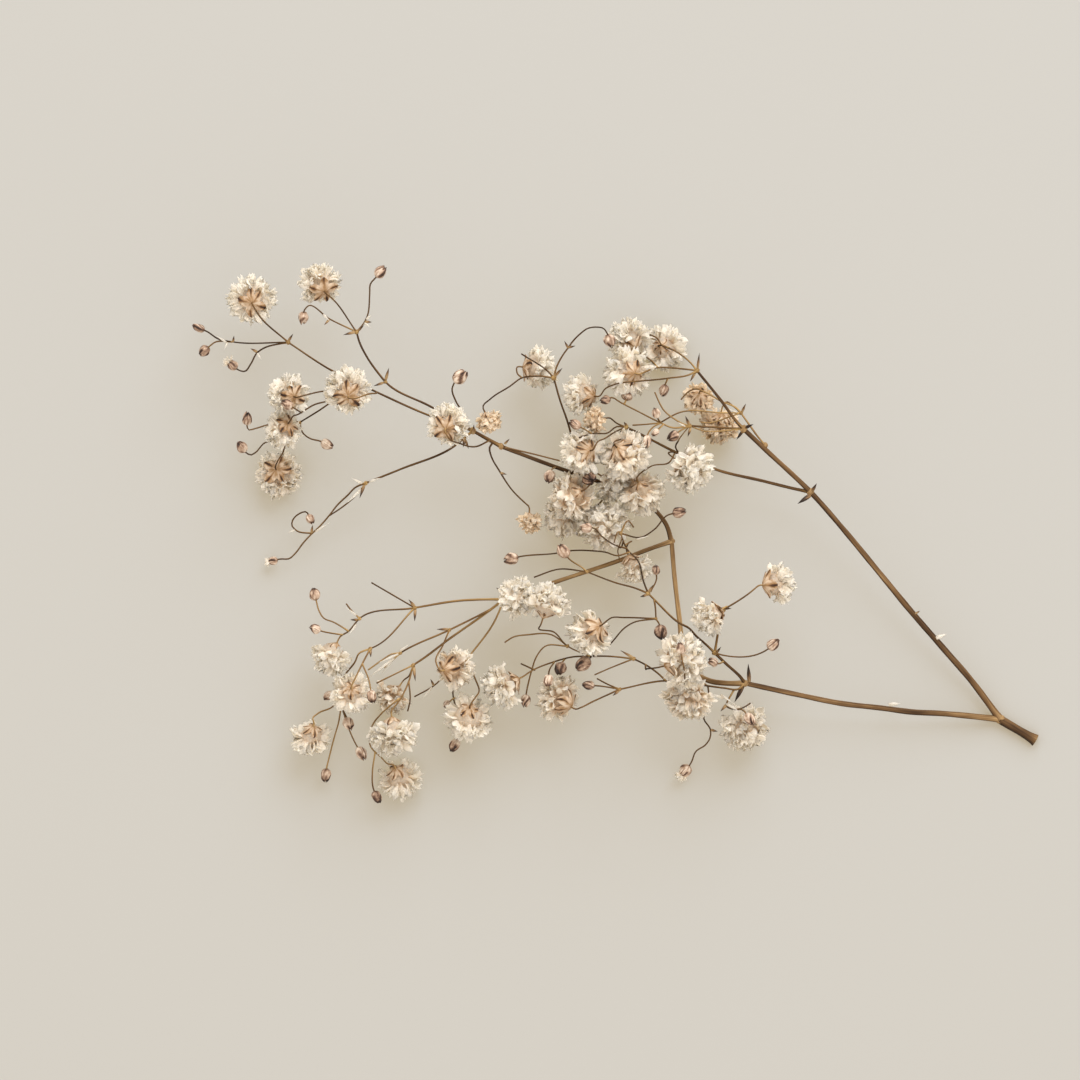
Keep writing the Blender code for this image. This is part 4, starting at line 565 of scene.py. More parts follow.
spray.head(32, (-33.4, -27.4, 8.4), (-36.4, -29.9, 7.2), (-38.2, -32.5, 5.4), (-38.4, -35.2, 5.6),
           (-36.4, -37.4, 7), (-35.5, -38.3, 7.9), thick=0.45)
spray.bud(1.0, (-37.5, -36.3, 6.3), (-38, -40, 5.6), (-37.9, -42.3, 5), (-37.3, -43.9, 4.8))
spray.joint("Q1", radius=0.5)
spray.bract((-31.1, -22, 6.8), (-30.8, -24.6, 6.9))
spray.bract((-25.3, -15.9, 7.6), (-27.3, -15.9, 8.4), 0.8)
spray.joint("Q2", "Q3", radius=0.42)
spray.wisp((-33.4, -19.6, 8.2), (-31.9, -18.4, 8.9), 0.7)
spray.wisp((-33.6, -20, 8), (-37, -21.5, 8))
spray.wisp((-34.2, -20.6, 7.8), (-38.9, -24.2, 7.2), 0.7)
spray.wisp((-34, -20.4, 7.6), (-36.6, -23.4, 7))
spray.tell()

# %% [markdown]
# ### The lower middle spray
# A short twig with one head and two buds.

# %% The lower middle spray
spray = Spray("spray_lower_middle")
spray.twig("D1", (-17.6, -14.6, 5.7), "D2", thick=0.55, thin=0.5, age=0.26)
spray.twig("D2", (-25.4, -23.2, 4.6), (-27.8, -25.4, 4.8), (-31, -27.2, 5))
spray.bud(1.1, "D2", (-23.9, -24.7, 4.2), (-24.4, -25.5), (-24.3, -28.2, 3.2), (-23.7, -29.9, 2.9),
          (-23.2, -32.8, 2.8), (-23.8, -34.3), (-24.3, -35.3, 3.2))
spray.bud(0.75, (-24.3, -27.4, 3.4), (-25, -27.9, 4.4), (-25.5, -28.5, 5.2))
spray.head(34, "D2", (-21, -23.75, 5.6), (-20.2, -26.4, 9.4), (-20.9, -27.4, 11.4))
spray.joint("D2", radius=0.5)
spray.bract((-27.7, -25.4, 4.8), (-28.3, -24.2, 5.3), 0.7)
spray.bract((-22.1, -21, 5.2), (-21.2, -22.2, 6), 0.8)
spray.wisp((-28, -25.6, 5), (-29.8, -27.6, 5.2))
spray.wisp((-24.6, -24.4, 4.4), (-25.2, -26.4, 4.6), 0.5)
spray.tell()

# %% [markdown]
# ### The lower right spray
# From the swollen joint of the lower stem, with two heads that stand apart.

# %% The lower right spray
spray = Spray("spray_lower_right")
spray.twig("B1", (23.2, -23.6, 9.4), (21, -21.6, 10.2), "G2", thick=0.75, thin=0.7)
spray.twig("G2", (19.9, -15.1, 11.6), (20.4, -13), "G1", thick=0.65, thin=0.55)
spray.head(39, "G1", (23.3, -10.9, 14), (25.8, -9, 16))
spray.head(38, "G1", thick=0.45)
spray.bud(1.1, "G2", (20.6, -20.2, 11), (26.8, -19.8), (27.9, -19.2), (28.8, -18.4, 12.3))
spray.bud(0.9, (20.6, -21.2, 10.4), (19.8, -21.6, 11.6), (18.8, -21.3, 12.6))
spray.joint("G1", "G2", radius=0.6)
spray.bract((20.6, -12.4, 12.6), (21.8, -12.4, 13.5), 0.8)
spray.bract((19.3, -19.9, 11), (20.2, -18.7, 11.9), 0.8)
spray.tell()

# %% [markdown]
# ### The centre spray
# A zigzag twig through the middle, above the lower sprays, with three heads and many buds.

# %% The centre spray
spray = Spray("spray_centre", age=0.55)
spray.twig("G2", (17.4, -18.2, 11.4), (16, -17), (14.7, -15.6), (13.5, -15, 11.9), (9.3, -11.2), "F1",
           thick=0.6, thin=0.55)
spray.twig("F1", (5.8, -9), (2.85, -8.2), "C2", thick=0.5)
spray.twig("F1", (7.2, -7.8, 12.1), (6.4, -4.6, 12), (4.4, -2.4, 12), "N7", thick=0.5)
spray.head(26, (4.2, -1.8, 12.1), (5.3, -1.2, 10.2), (4.7, -1.6, 8.7), thick=0.45)
spray.head(23, (3.9, -1.2, 12.1), (3.4, -2.3, 9.6), thick=0.45)
spray.twig("N7", (4.7, 2.2, 12.7), (5.6, 1.1, 12.4))
spray.bud(1.05, "N7", (6.8, -0.55, 12.4), (9.1, 0.8), (11.2, 3.1), (13.1, 3.6, 12))
spray.bud(0.95, (4.4, -2.4, 12), (2.6, -1.9, 13.3), (0.3, -0.4, 14.2), (-1.1, 1, 14.4), (-2.3, 1, 14.2))
spray.bud(1.15, (5, -3, 12), (2.75, -3.6, 12.3), (1, -3.05), (-1.3, -2.8, 12), (-5, -2.8, 11),
          (-7.25, -3.2), (-13.5, -3.8, 10.6), (-14.75, -4.1, 10.4))
spray.bud(1.2, "C2", (-2.6, -5.9), (-5.3, -4, 14), (-6.1, -2.9, 14.2))
spray.twig("C2", (-6.8, -5.85, 14), (-11, -7.2, 14.4))
spray.twig((9, -10.9, 12.4), (9.2, -12.2, 12.2), "F3", thick=0.5)
spray.head(37, "F3", (4, -13.9, 14.4), (1.7, -14, 15.9))
spray.bud(1.35, "F3", (5.25, -14.9, 10.9), (4.3, -15.5), (1.4, -18.6, 10.2), (-1.1, -20.2, 10.5),
          (-2.75, -21.6, 10.9))
spray.bud(1.2, "F3", (9.9, -15.1, 11.3), (10.1, -16.3, 11.2))
spray.bud(0.8, (8.4, -9.6, 12.5), (9.4, -7.5, 13), (9.3, -6, 13.5))
spray.joint("F1", radius=0.55)
spray.bract((8.1, -9.7, 12.7), (8.8, -8.5, 13.6))
spray.twig("N7", (3.1, 0.4, 12.6), (2.3, -1.5, 12.4), thick=0.42, thin=0.38)
spray.twig("N7", (3.6, -0.4, 12.6), (2.95, -2.9, 12.3), (3.3, -4.4, 12), thick=0.42, thin=0.38)
spray.joint("N7", "C2", "F3", radius=0.42)
spray.bract((7.8, -10.1, 12.5), (6.6, -10.5, 13), 0.8)
spray.wisp((6, -0.9, 12.4), (8.3, -0.3, 12.9), 0.4)
spray.tell()

# %% [markdown]
# ### The lower centre spray
# Long low twigs that carry the six big heads of the lower group.

# %% The lower centre spray
spray = Spray("spray_lower_centre")
spray.twig("B1", (23, -25.9, 8.9), (20.8, -25.7, 9.2), (17, -25.2, 8.9), (11, -24.5, 8.6), "E3",
           thick=0.55, thin=0.5)
spray.head(36, "E3", (-0.9, -27.8, 9.5), (-3.2, -28.9, 11.2))
spray.twig("E3", (1.4, -25.1), (-0.5, -24.1, 9.4))
spray.bud(0.85, "E3", (0.4, -25.4, 9), (-1.9, -25.2, 9.4), long=1.5)
spray.twig((11, -24.5, 8.6), (9.5, -23.1, 9), (7.6, -21.8), "E2", thick=0.5, thin=0.5)
spray.head(40, (7.6, -21.8, 9.2), (7.6, -22.5, 12), (7.9, -22.4, 15))
spray.bud(0.95, (11, -24.5, 8.6), (13.2, -25.4, 13.5), (14, -24.4, 19.2), (13.9, -22.6, 21.2),
          (13.5, -20.6, 21.7), (13.3, -19, 21.6), thick=0.5)
spray.head(35, "E2", (1.6, -20.4), (-1.7, -20.4, 8), (-4.5, -20.5), (-7.6, -21.3, 8.2), (-12, -23.2, 9))
spray.twig((-10.8, -22.7, 8.75), (-13.2, -21.6, 9.6))
spray.twig("E2", (1.6, -22.4, 8.9), (-0.9, -23.5, 8.6))
spray.head(43, (-1.7, -20.4, 8), "N6", (-7.75, -16.3, 11), (-10.2, -15.8, 13), thick=0.45)
spray.twig("N6", (-8.1, -16.8, 8.9), (-12, -16.8), (-14.5, -17.2), (-15.9, -18.1, 9.2))
spray.bud(1.0, "N6", (-9.1, -18.7, 8.4), (-10.6, -20.5), (-11.4, -22.8, 6.8), (-11.9, -24.7, 6),
          (-12.3, -26.7, 5.8), (-12.4, -27.8, 5.8))
spray.bud(1.15, (-5.9, -20.9, 8.1), (-6.4, -21.6, 9.4), (-6.6, -22.4, 10.2))
spray.bud(1.05, (-7.6, -21.3, 8.2), (-8.5, -22.9, 10.8), (-8.6, -24.4, 12.2))
spray.head(41, (17.8, -25.3, 8.9), (16.6, -24.4, 9))
spray.head(42, (22.4, -25.9, 8.9), (21.1, -28.6, 7.6), (22.3, -29.3, 5.4))
spray.twig((21.1, -28.6, 7.6), (22.7, -29.2, 8.6), (23.8, -29), (25.1, -28.2, 9.4))
spray.bud(1.1, (22.7, -29.2, 8.6), (24, -29.5, 10.8), (24.9, -30.8, 11.5))
spray.bud(1.1, (18, -25.3, 8.9), (18.2, -28.2, 7.2), (17.35, -30.8, 6), (18.5, -32.8, 5), (18.4, -34.1),
          (17.6, -35.3), (16.15, -36.25, 3.6), (15.2, -38.4, 2.6), (14.3, -39.6, 2.3), opening=True)
spray.joint("E2", radius=0.5)
spray.bract((5.5, -20.6, 9.4), (3.4, -19.4, 10), 0.8)
spray.bract((21.1, -28.5, 7.7), (20.1, -29.6, 8.4))
spray.bract((18.5, -32.7, 5), (19.7, -33, 5.6), 0.8)
spray.joint("E3", "N6", radius=0.42)
spray.bract((3.2, -26.1, 8.4), (2.1, -27, 8.8), 0.8)
spray.wisp((20.6, -27.4, 8.2), (18.4, -26.6, 8.9), 0.8)
spray.wisp((21, -28.3, 8), (23.4, -29.6, 8.8), 0.8)
spray.wisp((20.2, -26.8, 8.6), (22.2, -28.2, 9.2))
spray.tell()

# %% [markdown]
# ## Closed surfaces from rings
# Nearly every part of this plant is long and closed: a twig, a bud, a sepal, a petal. Each can be
# a stack of rings, computed for all its points at once, and closed by one face at either end. A
# Curve object with a bevel would do for the twigs, but not for ribbed buds or folded petals, so
# one way is used for all.

# %% Rings to faces
Surface = namedtuple("Surface", "points quads caps grain tone")


def closed_surfaces(rings, grain, tone):
    """Closed surfaces from rings of shape (surfaces, rows, columns, 3), or from those of one surface.

    Each quad joins a point, its neighbour round the ring, and the two above them. A flat face
    closes the first ring and another the last. Grain (3 numbers) and tone (1) stay with each point.
    """
    rings = rings.reshape(-1, *rings.shape[-3:])
    count, rows, columns, _ = rings.shape
    start = (np.arange(count) * rows * columns)[:, None, None]
    row, column = np.meshgrid(np.arange(rows - 1), np.arange(columns), indexing="ij")
    low = row * columns + column
    low_next = row * columns + (column + 1) % columns
    quads = np.stack([low, low_next, low_next + columns, low + columns], axis=-1).reshape(-1, 4)
    foot = np.arange(columns)[::-1]
    crown = (rows - 1) * columns + np.arange(columns)
    caps = start + np.stack([foot, crown])[None]
    return Surface(rings.reshape(-1, 3), (start + quads[None]).reshape(-1, 4), caps.reshape(-1, columns),
                   np.broadcast_to(grain, rings.shape).reshape(-1, 3),
                   np.broadcast_to(tone, rings.shape[:3]).reshape(-1))


print("A surface keeps", ", ".join(Surface._fields))

# %% [markdown]
# ## From surfaces to a piece
# Blender gets each piece as one mesh whose object stays at the origin, unturned. The grain and tone
# go in as attributes, so a material can follow the plant's own direction and age instead of the
# world's. The end caps stay flat, so that they do not bend the light on the smooth sides. Whatever
# would pass the CAD box is laid against it, as petals lie against a table.

# %% One mesh from many surfaces
PIECES = []


def joined(surfaces, field):
    """One field of all the surfaces, end to end."""
    return np.concatenate([getattr(surface, field) for surface in surfaces])


def make_piece(name, surfaces, finish, replaced=None):
    """One mesh in metres: a point is (plan place - plan centre) * MM, held inside the CAD box."""
    places = np.clip((joined(surfaces, "points") - PLAN_CENTRE) * MM, cad_low, cad_high)
    starts = np.cumsum([0] + [len(surface.points) for surface in surfaces])
    faces = []
    smooth = []
    for start, surface in zip(starts, surfaces):
        faces += (surface.quads + start).tolist() + (surface.caps + start).tolist()
        smooth += [True] * len(surface.quads) + [False] * len(surface.caps)
    mesh = bpy.data.meshes.new(name)
    mesh.from_pydata(places.tolist(), [], faces)
    mesh.polygons.foreach_set("use_smooth", smooth)
    grain = mesh.attributes.new("grain", "FLOAT_VECTOR", "POINT")
    grain.data.foreach_set("vector", joined(surfaces, "grain").ravel())
    tone = mesh.attributes.new("tone", "FLOAT", "POINT")
    tone.data.foreach_set("value", joined(surfaces, "tone"))
    mesh.materials.append(finish)
    piece = bpy.data.objects.new(name, mesh)
    bpy.context.scene.collection.objects.link(piece)
    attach(piece, "root")
    if replaced:
        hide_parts(replaced)
    PIECES.append(piece)


# %% [markdown]
# ## Angles and directions
# All the rings below take the same few steps: angles once round, a direction at each angle, and
# three numbers that tell a material's noise where it is on the part. Plants are never exact, so
# waves start at a random phase, and each part at a random place in the noise.

# %% The steps that all rings share
PHASE = (0, 6)  # radians, the range of a wave's random start
NOISE = (0, 50)  # the range of a part's random place in the noise
UP = np.array([0.0, 0.0, 1.0])
ACROSS = np.array([1.0, 0.0, 0.0])


def full_turn(columns):
    """Even angles once round."""
    return np.linspace(0.0, 2 * np.pi, columns, endpoint=False)


def around_axis(angle, side, up):
    """cos(a) * side + sin(a) * up, a direction for each angle."""
    return np.cos(angle)[..., None] * side + np.sin(angle)[..., None] * up


def grain_of(*parts):
    """Three numbers for each point, from three arrays that together fill the rings."""
    return np.stack(np.broadcast_arrays(*parts), axis=-1)


def frame_of_axis(axis):
    """Two directions square to one axis and to each other."""
    side = unit(np.cross(UP if abs(axis[2]) < 0.9 else ACROSS, axis))
    return side, np.cross(axis, side)


def ball_angles(rows, columns, margin):
    """Each point's angle from the pole of a ball, margin away from either end, and its angle round."""
    return np.meshgrid(np.linspace(margin, np.pi - margin, rows), full_turn(columns), indexing="ij")


print("A ring of 8 turns by", round(math.degrees(full_turn(8)[1])), "degrees a point")

# %% [markdown]
# ## Smooth paths
# The traced points are a few millimetres apart, and a real twig bends smoothly between them. A
# cubic through each pair of points, with a slope at each point taken from both its neighbours,
# keeps the twig on its points without the overshoot of a looser spline.

# %% A curve through points and a frame along it


def smooth_path(points, spacing):
    """Cubic curve through points, sampled evenly.

    The slope at a point is the mean of the slopes of the legs before and after it, each weighted by
    the other leg's length. Between two points, Hermite's four weights blend places and slopes.
    """
    legs = np.diff(points, axis=0)
    lengths = np.linalg.norm(legs, axis=1)
    slopes = legs / lengths[:, None]
    share = (lengths[1:] / (lengths[1:] + lengths[:-1]))[:, None]
    middle = slopes[:-1] * share + slopes[1:] * (1.0 - share)
    slope = np.vstack([slopes[:1], middle, slopes[-1:]])
    run = np.concatenate([[0.0], np.cumsum(lengths)])
    at = np.linspace(0.0, run[-1], max(4, math.ceil(run[-1] / spacing) + 1))
    leg = np.clip(np.searchsorted(run, at, side="right") - 1, 0, len(lengths) - 1)
    long = lengths[leg][:, None]
    t = ((at - run[leg]) / lengths[leg])[:, None]
    curve = (points[leg] * (2 * t**3 - 3 * t**2 + 1) + points[leg + 1] * (3 * t**2 - 2 * t**3)
             + long * slope[leg] * (t**3 - 2 * t**2 + t) + long * slope[leg + 1] * (t**3 - t**2))
    return curve, at


def frame_along_path(curve):
    """Side and up at each point; the side starts from the normal of the plane that fits the curve."""
    way = unit(np.gradient(curve, axis=0))
    plane = np.linalg.svd(way - way.mean(axis=0))[2][-1]
    if abs(plane @ way[0]) > 0.9:
        plane = UP if abs(way[0, 2]) < 0.8 else ACROSS
    side = unit(plane - way * (way @ plane)[:, None])
    return side, np.cross(way, side)


test_curve, _ = smooth_path(np.array([[0.0, 0.0, 0.0], [1.0, 0.0, 0.0], [2.0, 1.0, 0.0]]), 0.5)
print("A test path of", len(test_curve), "points")

# %% [markdown]
# ## Twigs
# A dried twig is round and tapers a little. It swells where it leaves a joint, and again just
# below a bud or head. Its skin has shrunk on to faint lengthwise ridges. All of that is one radius
# as a function of length and angle. The side that faces down and away from the lamp is coloured
# darker brown: painted shade.

# %% The twig surface
STEP = 0.55  # mm between rings
THINNED, THINNED_MM = 0.89, 0.15  # the CAD twigs are thicker than this, to stay closed
STOUT = 0.7  # mm, above which a twig gets more columns
SWELL, SWELL_MM = 0.35, 0.7  # growth at a joint, and the mm over which it dies away
NECK, NECK_MM = 0.6, 0.35  # growth under a bud or head, and its mm
RIDGES, RIDGE = 5, 0.05  # how many ridges, and their height in radii
WAVER = 0.05  # how far the radius wavers along the twig, in radii
PALE = 0.35  # how much paler a twig is at a joint and under a head
# painted shade: the side of a twig that faces this way, down and away from the lamp, is coloured darker
PAINTED_SHADE_SIDE = unit(np.array([-0.45, -0.55, -0.7]))


def twig_surface(twig, draw):
    """centre(s) + radius * (cos(a) * side + sin(a) * up).

    The radius tapers from end to end, grows towards a joint as exp(-s / SWELL_MM), and likewise
    towards a bud or head, wavers by two slow sines, and has RIDGES faint ridges round it.
    """
    curve, run = smooth_path(twig.path, STEP)
    side, up = frame_along_path(curve)
    angle = full_turn(12 if twig.thick > STOUT else 8)
    share = run / run[-1]
    radius = 0.5 * (THINNED * (twig.thick + (twig.thin - twig.thick) * share) - THINNED_MM)
    radius = radius * (1.0 + SWELL * np.exp(-run / SWELL_MM))
    slow = np.sin(run * 0.9 + draw.uniform(*PHASE)) * np.sin(run * 0.37 + draw.uniform(*PHASE))
    radius = radius * (1.0 + WAVER * slow)
    if twig.bud_size or twig.bloom:
        radius = radius * (1.0 + NECK * np.exp((run - run[-1]) / NECK_MM))
    ridge = 1.0 + RIDGE * np.cos(RIDGES * angle + draw.uniform(*PHASE))
    ring = around_axis(angle[None], side[:, None], up[:, None])
    rings = curve[:, None] + (radius[:, None] * ridge[None])[..., None] * ring
    seed = draw.uniform(*NOISE)
    age = twig.age + draw.uniform(-0.12, 0.12)
    tone = age - PALE * np.exp(-run / 1.2) + 0.1 * np.sin(run * 0.25 + seed)
    if twig.bloom:
        tone = tone - PALE * np.exp((run - run[-1]) / 1.5)
    # painted shade: the side that faces down and away from the lamp moves darker on the ramp
    tone = tone[:, None] - 0.05 + 0.6 * np.clip(ring @ PAINTED_SHADE_SIDE + 0.3, 0.0, 1.0)
    grain = grain_of(np.cos(angle)[None], np.sin(angle)[None], run[:, None] + seed)
    return closed_surfaces(rings, grain, tone)


print("Twig rings every", STEP, "mm")

# %% [markdown]
# ## Swollen joints
# Where twigs meet, the plant makes a short lumpy collar, paler than the stem. An egg with a few
# low lumps, a little longer than wide, hides the ends of the tubes inside it.

# %% The joint surface
JOINT_TONE = 0.15  # among the palest of the stem's colours
JOINT_LONG = 1.15  # the egg's half length in radii
LUMP = 0.12  # the height of its lumps in radii
JOINT_WAY = np.array([0.6, 0.5, 0.3])  # the way the eggs point, before a random turn


def joint_surface(place, radius, draw):
    """An egg, p from its pole and a round it in radians; its lumps are a product of two cosines."""
    p, a = ball_angles(7, 10, 0.12)
    axis = unit(draw.normal(size=3) * 0.4 + JOINT_WAY)
    side, up = frame_of_axis(axis)
    size = radius * (1.0 + LUMP * np.cos(3 * a + 1.0) * np.cos(2 * p))
    flat = (size * np.sin(p))[..., None] * around_axis(a, side, up)
    rings = place + flat - (JOINT_LONG * size * np.cos(p))[..., None] * axis
    return closed_surfaces(rings, grain_of(np.cos(a), np.sin(a), p + draw.uniform(*NOISE)), JOINT_TONE)


print("A joint is", JOINT_LONG, "times as long as wide")

# %% [markdown]
# ## Bracts
# Each joint has a pair of bracts, narrow papery scales a few millimetres long. They clasp the stem
# at the root, bow outwards and end in a dark dry point. A flattened tube whose width falls to
# nothing gives both faces and the edge at once.

# %% The bract surface
BRACT_ROWS = np.array([0.0, 0.12, 0.3, 0.5, 0.7, 0.88, 1.0])[:, None]
BRACT_HALF = 0.32  # the half width for each mm of width in the lists
BRACT_BOW = 0.16  # how far it bows outwards, in lengths
BRACT_CUP = 0.35  # how far its edges bend down, in half widths
BRACT_THICK = 0.07  # mm from the middle of the sheet to either face


def bract_surface(bract, draw):
    """root + t * way + width(t) * cos(a) * side + lift, with t from the root to the tip.

    The width falls as 1 minus t to a power. The lift bows, cups and thickens the sheet.
    """
    t = BRACT_ROWS
    a = full_turn(8)[None]
    long = np.linalg.norm(bract.tip - bract.root)
    axis = unit(bract.tip - bract.root)
    side, up = frame_of_axis(axis)
    if up[2] < 0:
        side, up = -side, -up
    width = BRACT_HALF * bract.width * (0.7 + 0.3 * np.sin(np.pi * t)) * (1.0 - 0.93 * t**2.2)
    bow = BRACT_BOW * long * np.sin(np.pi * t) + draw.uniform(-0.1, 0.2) * long * t**3
    lift = bow - BRACT_CUP * width * np.cos(a)**2 + BRACT_THICK * (1.15 - t) * np.sin(a)
    rings = (bract.root + (t * long)[..., None] * axis
             + (width * np.cos(a))[..., None] * side + lift[..., None] * up)
    grain = grain_of(np.cos(a), np.sin(a) * 0.2, t * long + draw.uniform(*NOISE))
    return closed_surfaces(rings, grain, t + bract.tone + draw.uniform(-0.12, 0.12))


print("A bract is", len(BRACT_ROWS), "rings long")

# %% [markdown]
# ## Whorls of five
# Buds and calyces are whorls of five sepals that are never equally wide. Ribs, edges and teeth
# are set out on an even phase, which is then bent into an uneven angle.

# %% Five uneven sepals
SEPALS = 5
SEPAL_TURN = 2 * np.pi / SEPALS


def five_sepals(columns, sway, draw):
    """Phase, angle, the sepal's number and the place across it from -0.5 to 0.5, once round.

    The angle is the even phase plus two waves of sway, once and twice round. The last value is a
    function that draws a number for each sepal and spreads it over the sepal's columns.
    """
    phase = full_turn(columns)[None]
    once = sway[0] * np.sin(phase + draw.uniform(*PHASE))
    twice = sway[1] * np.sin(2 * phase + draw.uniform(*PHASE))
    place = phase / SEPAL_TURN + 0.5
    sepal = np.floor(place % SEPALS).astype(int)

    def each(low, high):
        return draw.uniform(low, high, SEPALS)[sepal]

    return phase, phase + once + twice, sepal, place % 1.0 - 0.5, each


def rib_marks(angle, half_width, offset=0.0):
    """1 along the middle of each sepal, 0 from half_width radians on; an offset slants the middles."""
    aside = np.abs((angle + offset + 0.5 * SEPAL_TURN) % SEPAL_TURN - 0.5 * SEPAL_TURN)
    return np.clip(1.5 * (1.0 - aside / half_width), 0.0, 1.0)


print("A sepal takes", round(math.degrees(SEPAL_TURN)), "degrees")

# %% [markdown]
# ## Buds
# A closed bud is an egg of five sepals that meet at the tip. On drying, the green rib down each
# sepal turns dark brown and the thin margins between turn pinkish. The ribs stand out a little,
# one margin overlaps the next, and the whole twists slightly.

# %% The bud surface
BUD_SHARE = np.array([0.0, 0.06, 0.16, 0.32, 0.5, 0.68, 0.82, 0.92, 1.0])
BUD_RADIUS = np.array([0.25, 0.56, 0.85, 1.02, 1.05, 0.97, 0.8, 0.56, 0.28])
BUD_WIDE = 0.8  # the half width for each mm of a bud's size
BUD_TWIST = 0.45  # radians from the foot to the tip


def bud_surface(twig, draw):
    """An egg about the end of the stalk.

    The ring radius follows the BUD_RADIUS profile, goes out on the ribs and in between them, grows
    across each sepal so that its margin stands over the next one, and is dented by two waves. The
    rings turn by a twist that grows with height, and the sepals end at unequal heights. Each sepal
    has its own strength, width, slant and start of rib.
    """
    axis = unit(twig.path[-1] - twig.path[-2])
    side, up = frame_of_axis(axis)
    long = twig.bud_size * twig.bud_long
    share = BUD_SHARE[:, None]
    phase, angle, sepal, across, each = five_sepals(40, (0.3, 0.1), draw)
    turn = angle + BUD_TWIST * share + draw.uniform(*PHASE)
    profile = BUD_WIDE * twig.bud_size * BUD_RADIUS[:, None]
    radius = profile * (1.0 + 0.06 * np.cos(SEPALS * phase) + 0.07 * across)
    radius = radius * (1.0 + 0.09 * np.sin(2 * angle + draw.uniform(*PHASE)) * np.sin(np.pi * share))
    radius = radius * (1.0 + 0.05 * np.sin(3 * angle + 9 * share + draw.uniform(*PHASE)))
    crown = each(0.06, 0.28) * share**4 * np.cos(SEPALS * phase)
    height = 1.55 * share - 0.8 + crown
    rings = (twig.path[-1] + radius[..., None] * around_axis(turn, side, up)
             + (long * height)[..., None] * axis)
    seed = draw.uniform(*NOISE)
    slant = draw.normal(0, 0.28, SEPALS)[sepal] * (1.2 - 2.0 * share)
    begun = np.clip((share - each(0.0, 0.4)) / 0.25, 0.0, 1.0)
    rib = rib_marks(phase, each(0.1, 0.46), slant) * begun
    tone = draw.uniform(0.0, 0.4) + rib * each(0.35, 0.95) - 0.12 * np.cos(SEPALS * phase)
    dark_tip = 0.4 * np.clip(share - 0.85, 0, 1) / 0.15
    dark_foot = 0.3 * np.clip(0.12 - share, 0, 1) / 0.12
    return closed_surfaces(rings, grain_of(np.cos(turn), np.sin(turn), share * long * 2 + seed),
                           tone + dark_tip + dark_foot)


print("A bud is", len(BUD_SHARE), "rings long")

# %% [markdown]
# ## Calyces
# An open head sits in a bell of five sepals. The bell is cream and papery, and each free tooth has
# a dark brown rib. One profile from the stalk to the tooth's tip, cut shorter between the teeth,
# makes the outside. The same profile, moved in by the sepal's thickness, makes the inside.

# %% The calyx surface
MODEL_RADIUS = 3.5  # the head size that the calyx is measured on
TOOTH_SHARE = np.array([0.0, 0.2, 0.45, 0.75, 1.0])  # along a sepal, from the stalk to the tip
TOOTH_OUT = np.array([0.3, 0.95, 1.5, 2.15, 2.65])  # mm from the axis there
TOOTH_AHEAD = np.array([-0.3, 0.1, 0.55, 1.0, 1.25])  # mm along the axis, in a cup
FLAT_AHEAD = np.array([-0.3, -0.05, 0.1, 0.15, 0.1])  # and in a flat star
CALYX_OUTSIDE = [0.0, 0.15, 0.35, 0.55, 0.75, 0.9, 1.0]
CALYX_INSIDE = [0.98, 0.8, 0.55, 0.3, 0.05]
CALYX_ROWS = np.array(CALYX_OUTSIDE + CALYX_INSIDE)[:, None]
INNER = (np.arange(len(CALYX_ROWS)) >= len(CALYX_OUTSIDE))[:, None]
SEPAL_THICK = 0.09  # mm between the two faces
NOTCH = 0.34  # how far up the notches reach, as a share of a tooth


def calyx_surface(bloom, scale, flat, draw):
    """A star-edged bell.

    Along a sepal the point is base + out(q) * around + ahead(q) * axis, with q = row * reach(phase).
    Reach is about 1 at a tooth's tip and falls almost straight to NOTCH between two. Each tooth
    leans by its own q squared. The profile ahead lies between the cup's and a flat star's. The
    inner rows run back down the same profile, SEPAL_THICK further ahead.
    """
    axis = bloom_axis(bloom)
    side, up = frame_of_axis(axis)
    size = bloom.radius / MODEL_RADIUS * scale
    phase, angle, sepal, across, each = five_sepals(60, (0.18, 0.08), draw)
    angle = angle + draw.uniform(*PHASE)
    tooth = 1.0 - np.abs(across) * 2.0
    q = CALYX_ROWS * (NOTCH + (each(0.85, 1.15) - NOTCH) * tooth**0.95)
    curl = each(-0.5, 0.45)
    out = np.interp(q, TOOTH_SHARE, TOOTH_OUT) * (1.0 - 0.10 * np.abs(curl) * q**2)
    profile = TOOTH_AHEAD + (FLAT_AHEAD - TOOTH_AHEAD) * flat
    ahead = np.interp(q, TOOTH_SHARE, profile) + curl * np.clip(q - 0.5, 0.0, 1.0) ** 2 * 2.0
    keel = -0.10 * rib_marks(phase, 0.25) * np.sin(np.pi * np.clip(q, 0.0, 1.0))
    ahead = ahead + keel + INNER * SEPAL_THICK / size
    out = out - INNER * SEPAL_THICK * 0.5 / size
    heading = angle + draw.normal(0, 0.22, SEPALS)[sepal] * q**2
    rings = (bloom_base(bloom) + (size * out)[..., None] * around_axis(heading, side, up)
             + (size * ahead)[..., None] * axis)
    grain = grain_of(np.cos(angle), np.sin(angle), q * 2.5 + draw.uniform(*NOISE))
    foot = 0.32 * np.clip(1.15 - q / 0.35, 0.0, 1.0)
    blade = np.clip((q - 0.2) / 0.3, 0.0, 1.0) * each(0.02, 0.26)
    lance = np.sin(np.pi * np.clip((q - 0.1) / 0.95, 0.0, 1.0)) / (0.6 + 2.0 * q)
    rib = 0.3 * rib_marks(phase, 0.03 + 0.4 * lance) + 0.55 * rib_marks(phase, 0.06 + 0.1 * lance)
    fade = np.interp(q, [0.08, 0.25, 0.45, 1.0], [0.0, 0.5, 1.0, 1.2])
    return closed_surfaces(rings, grain, foot + blade + rib * fade * each(0.6, 1.1))


print("A calyx is", len(CALYX_ROWS), "rings long")

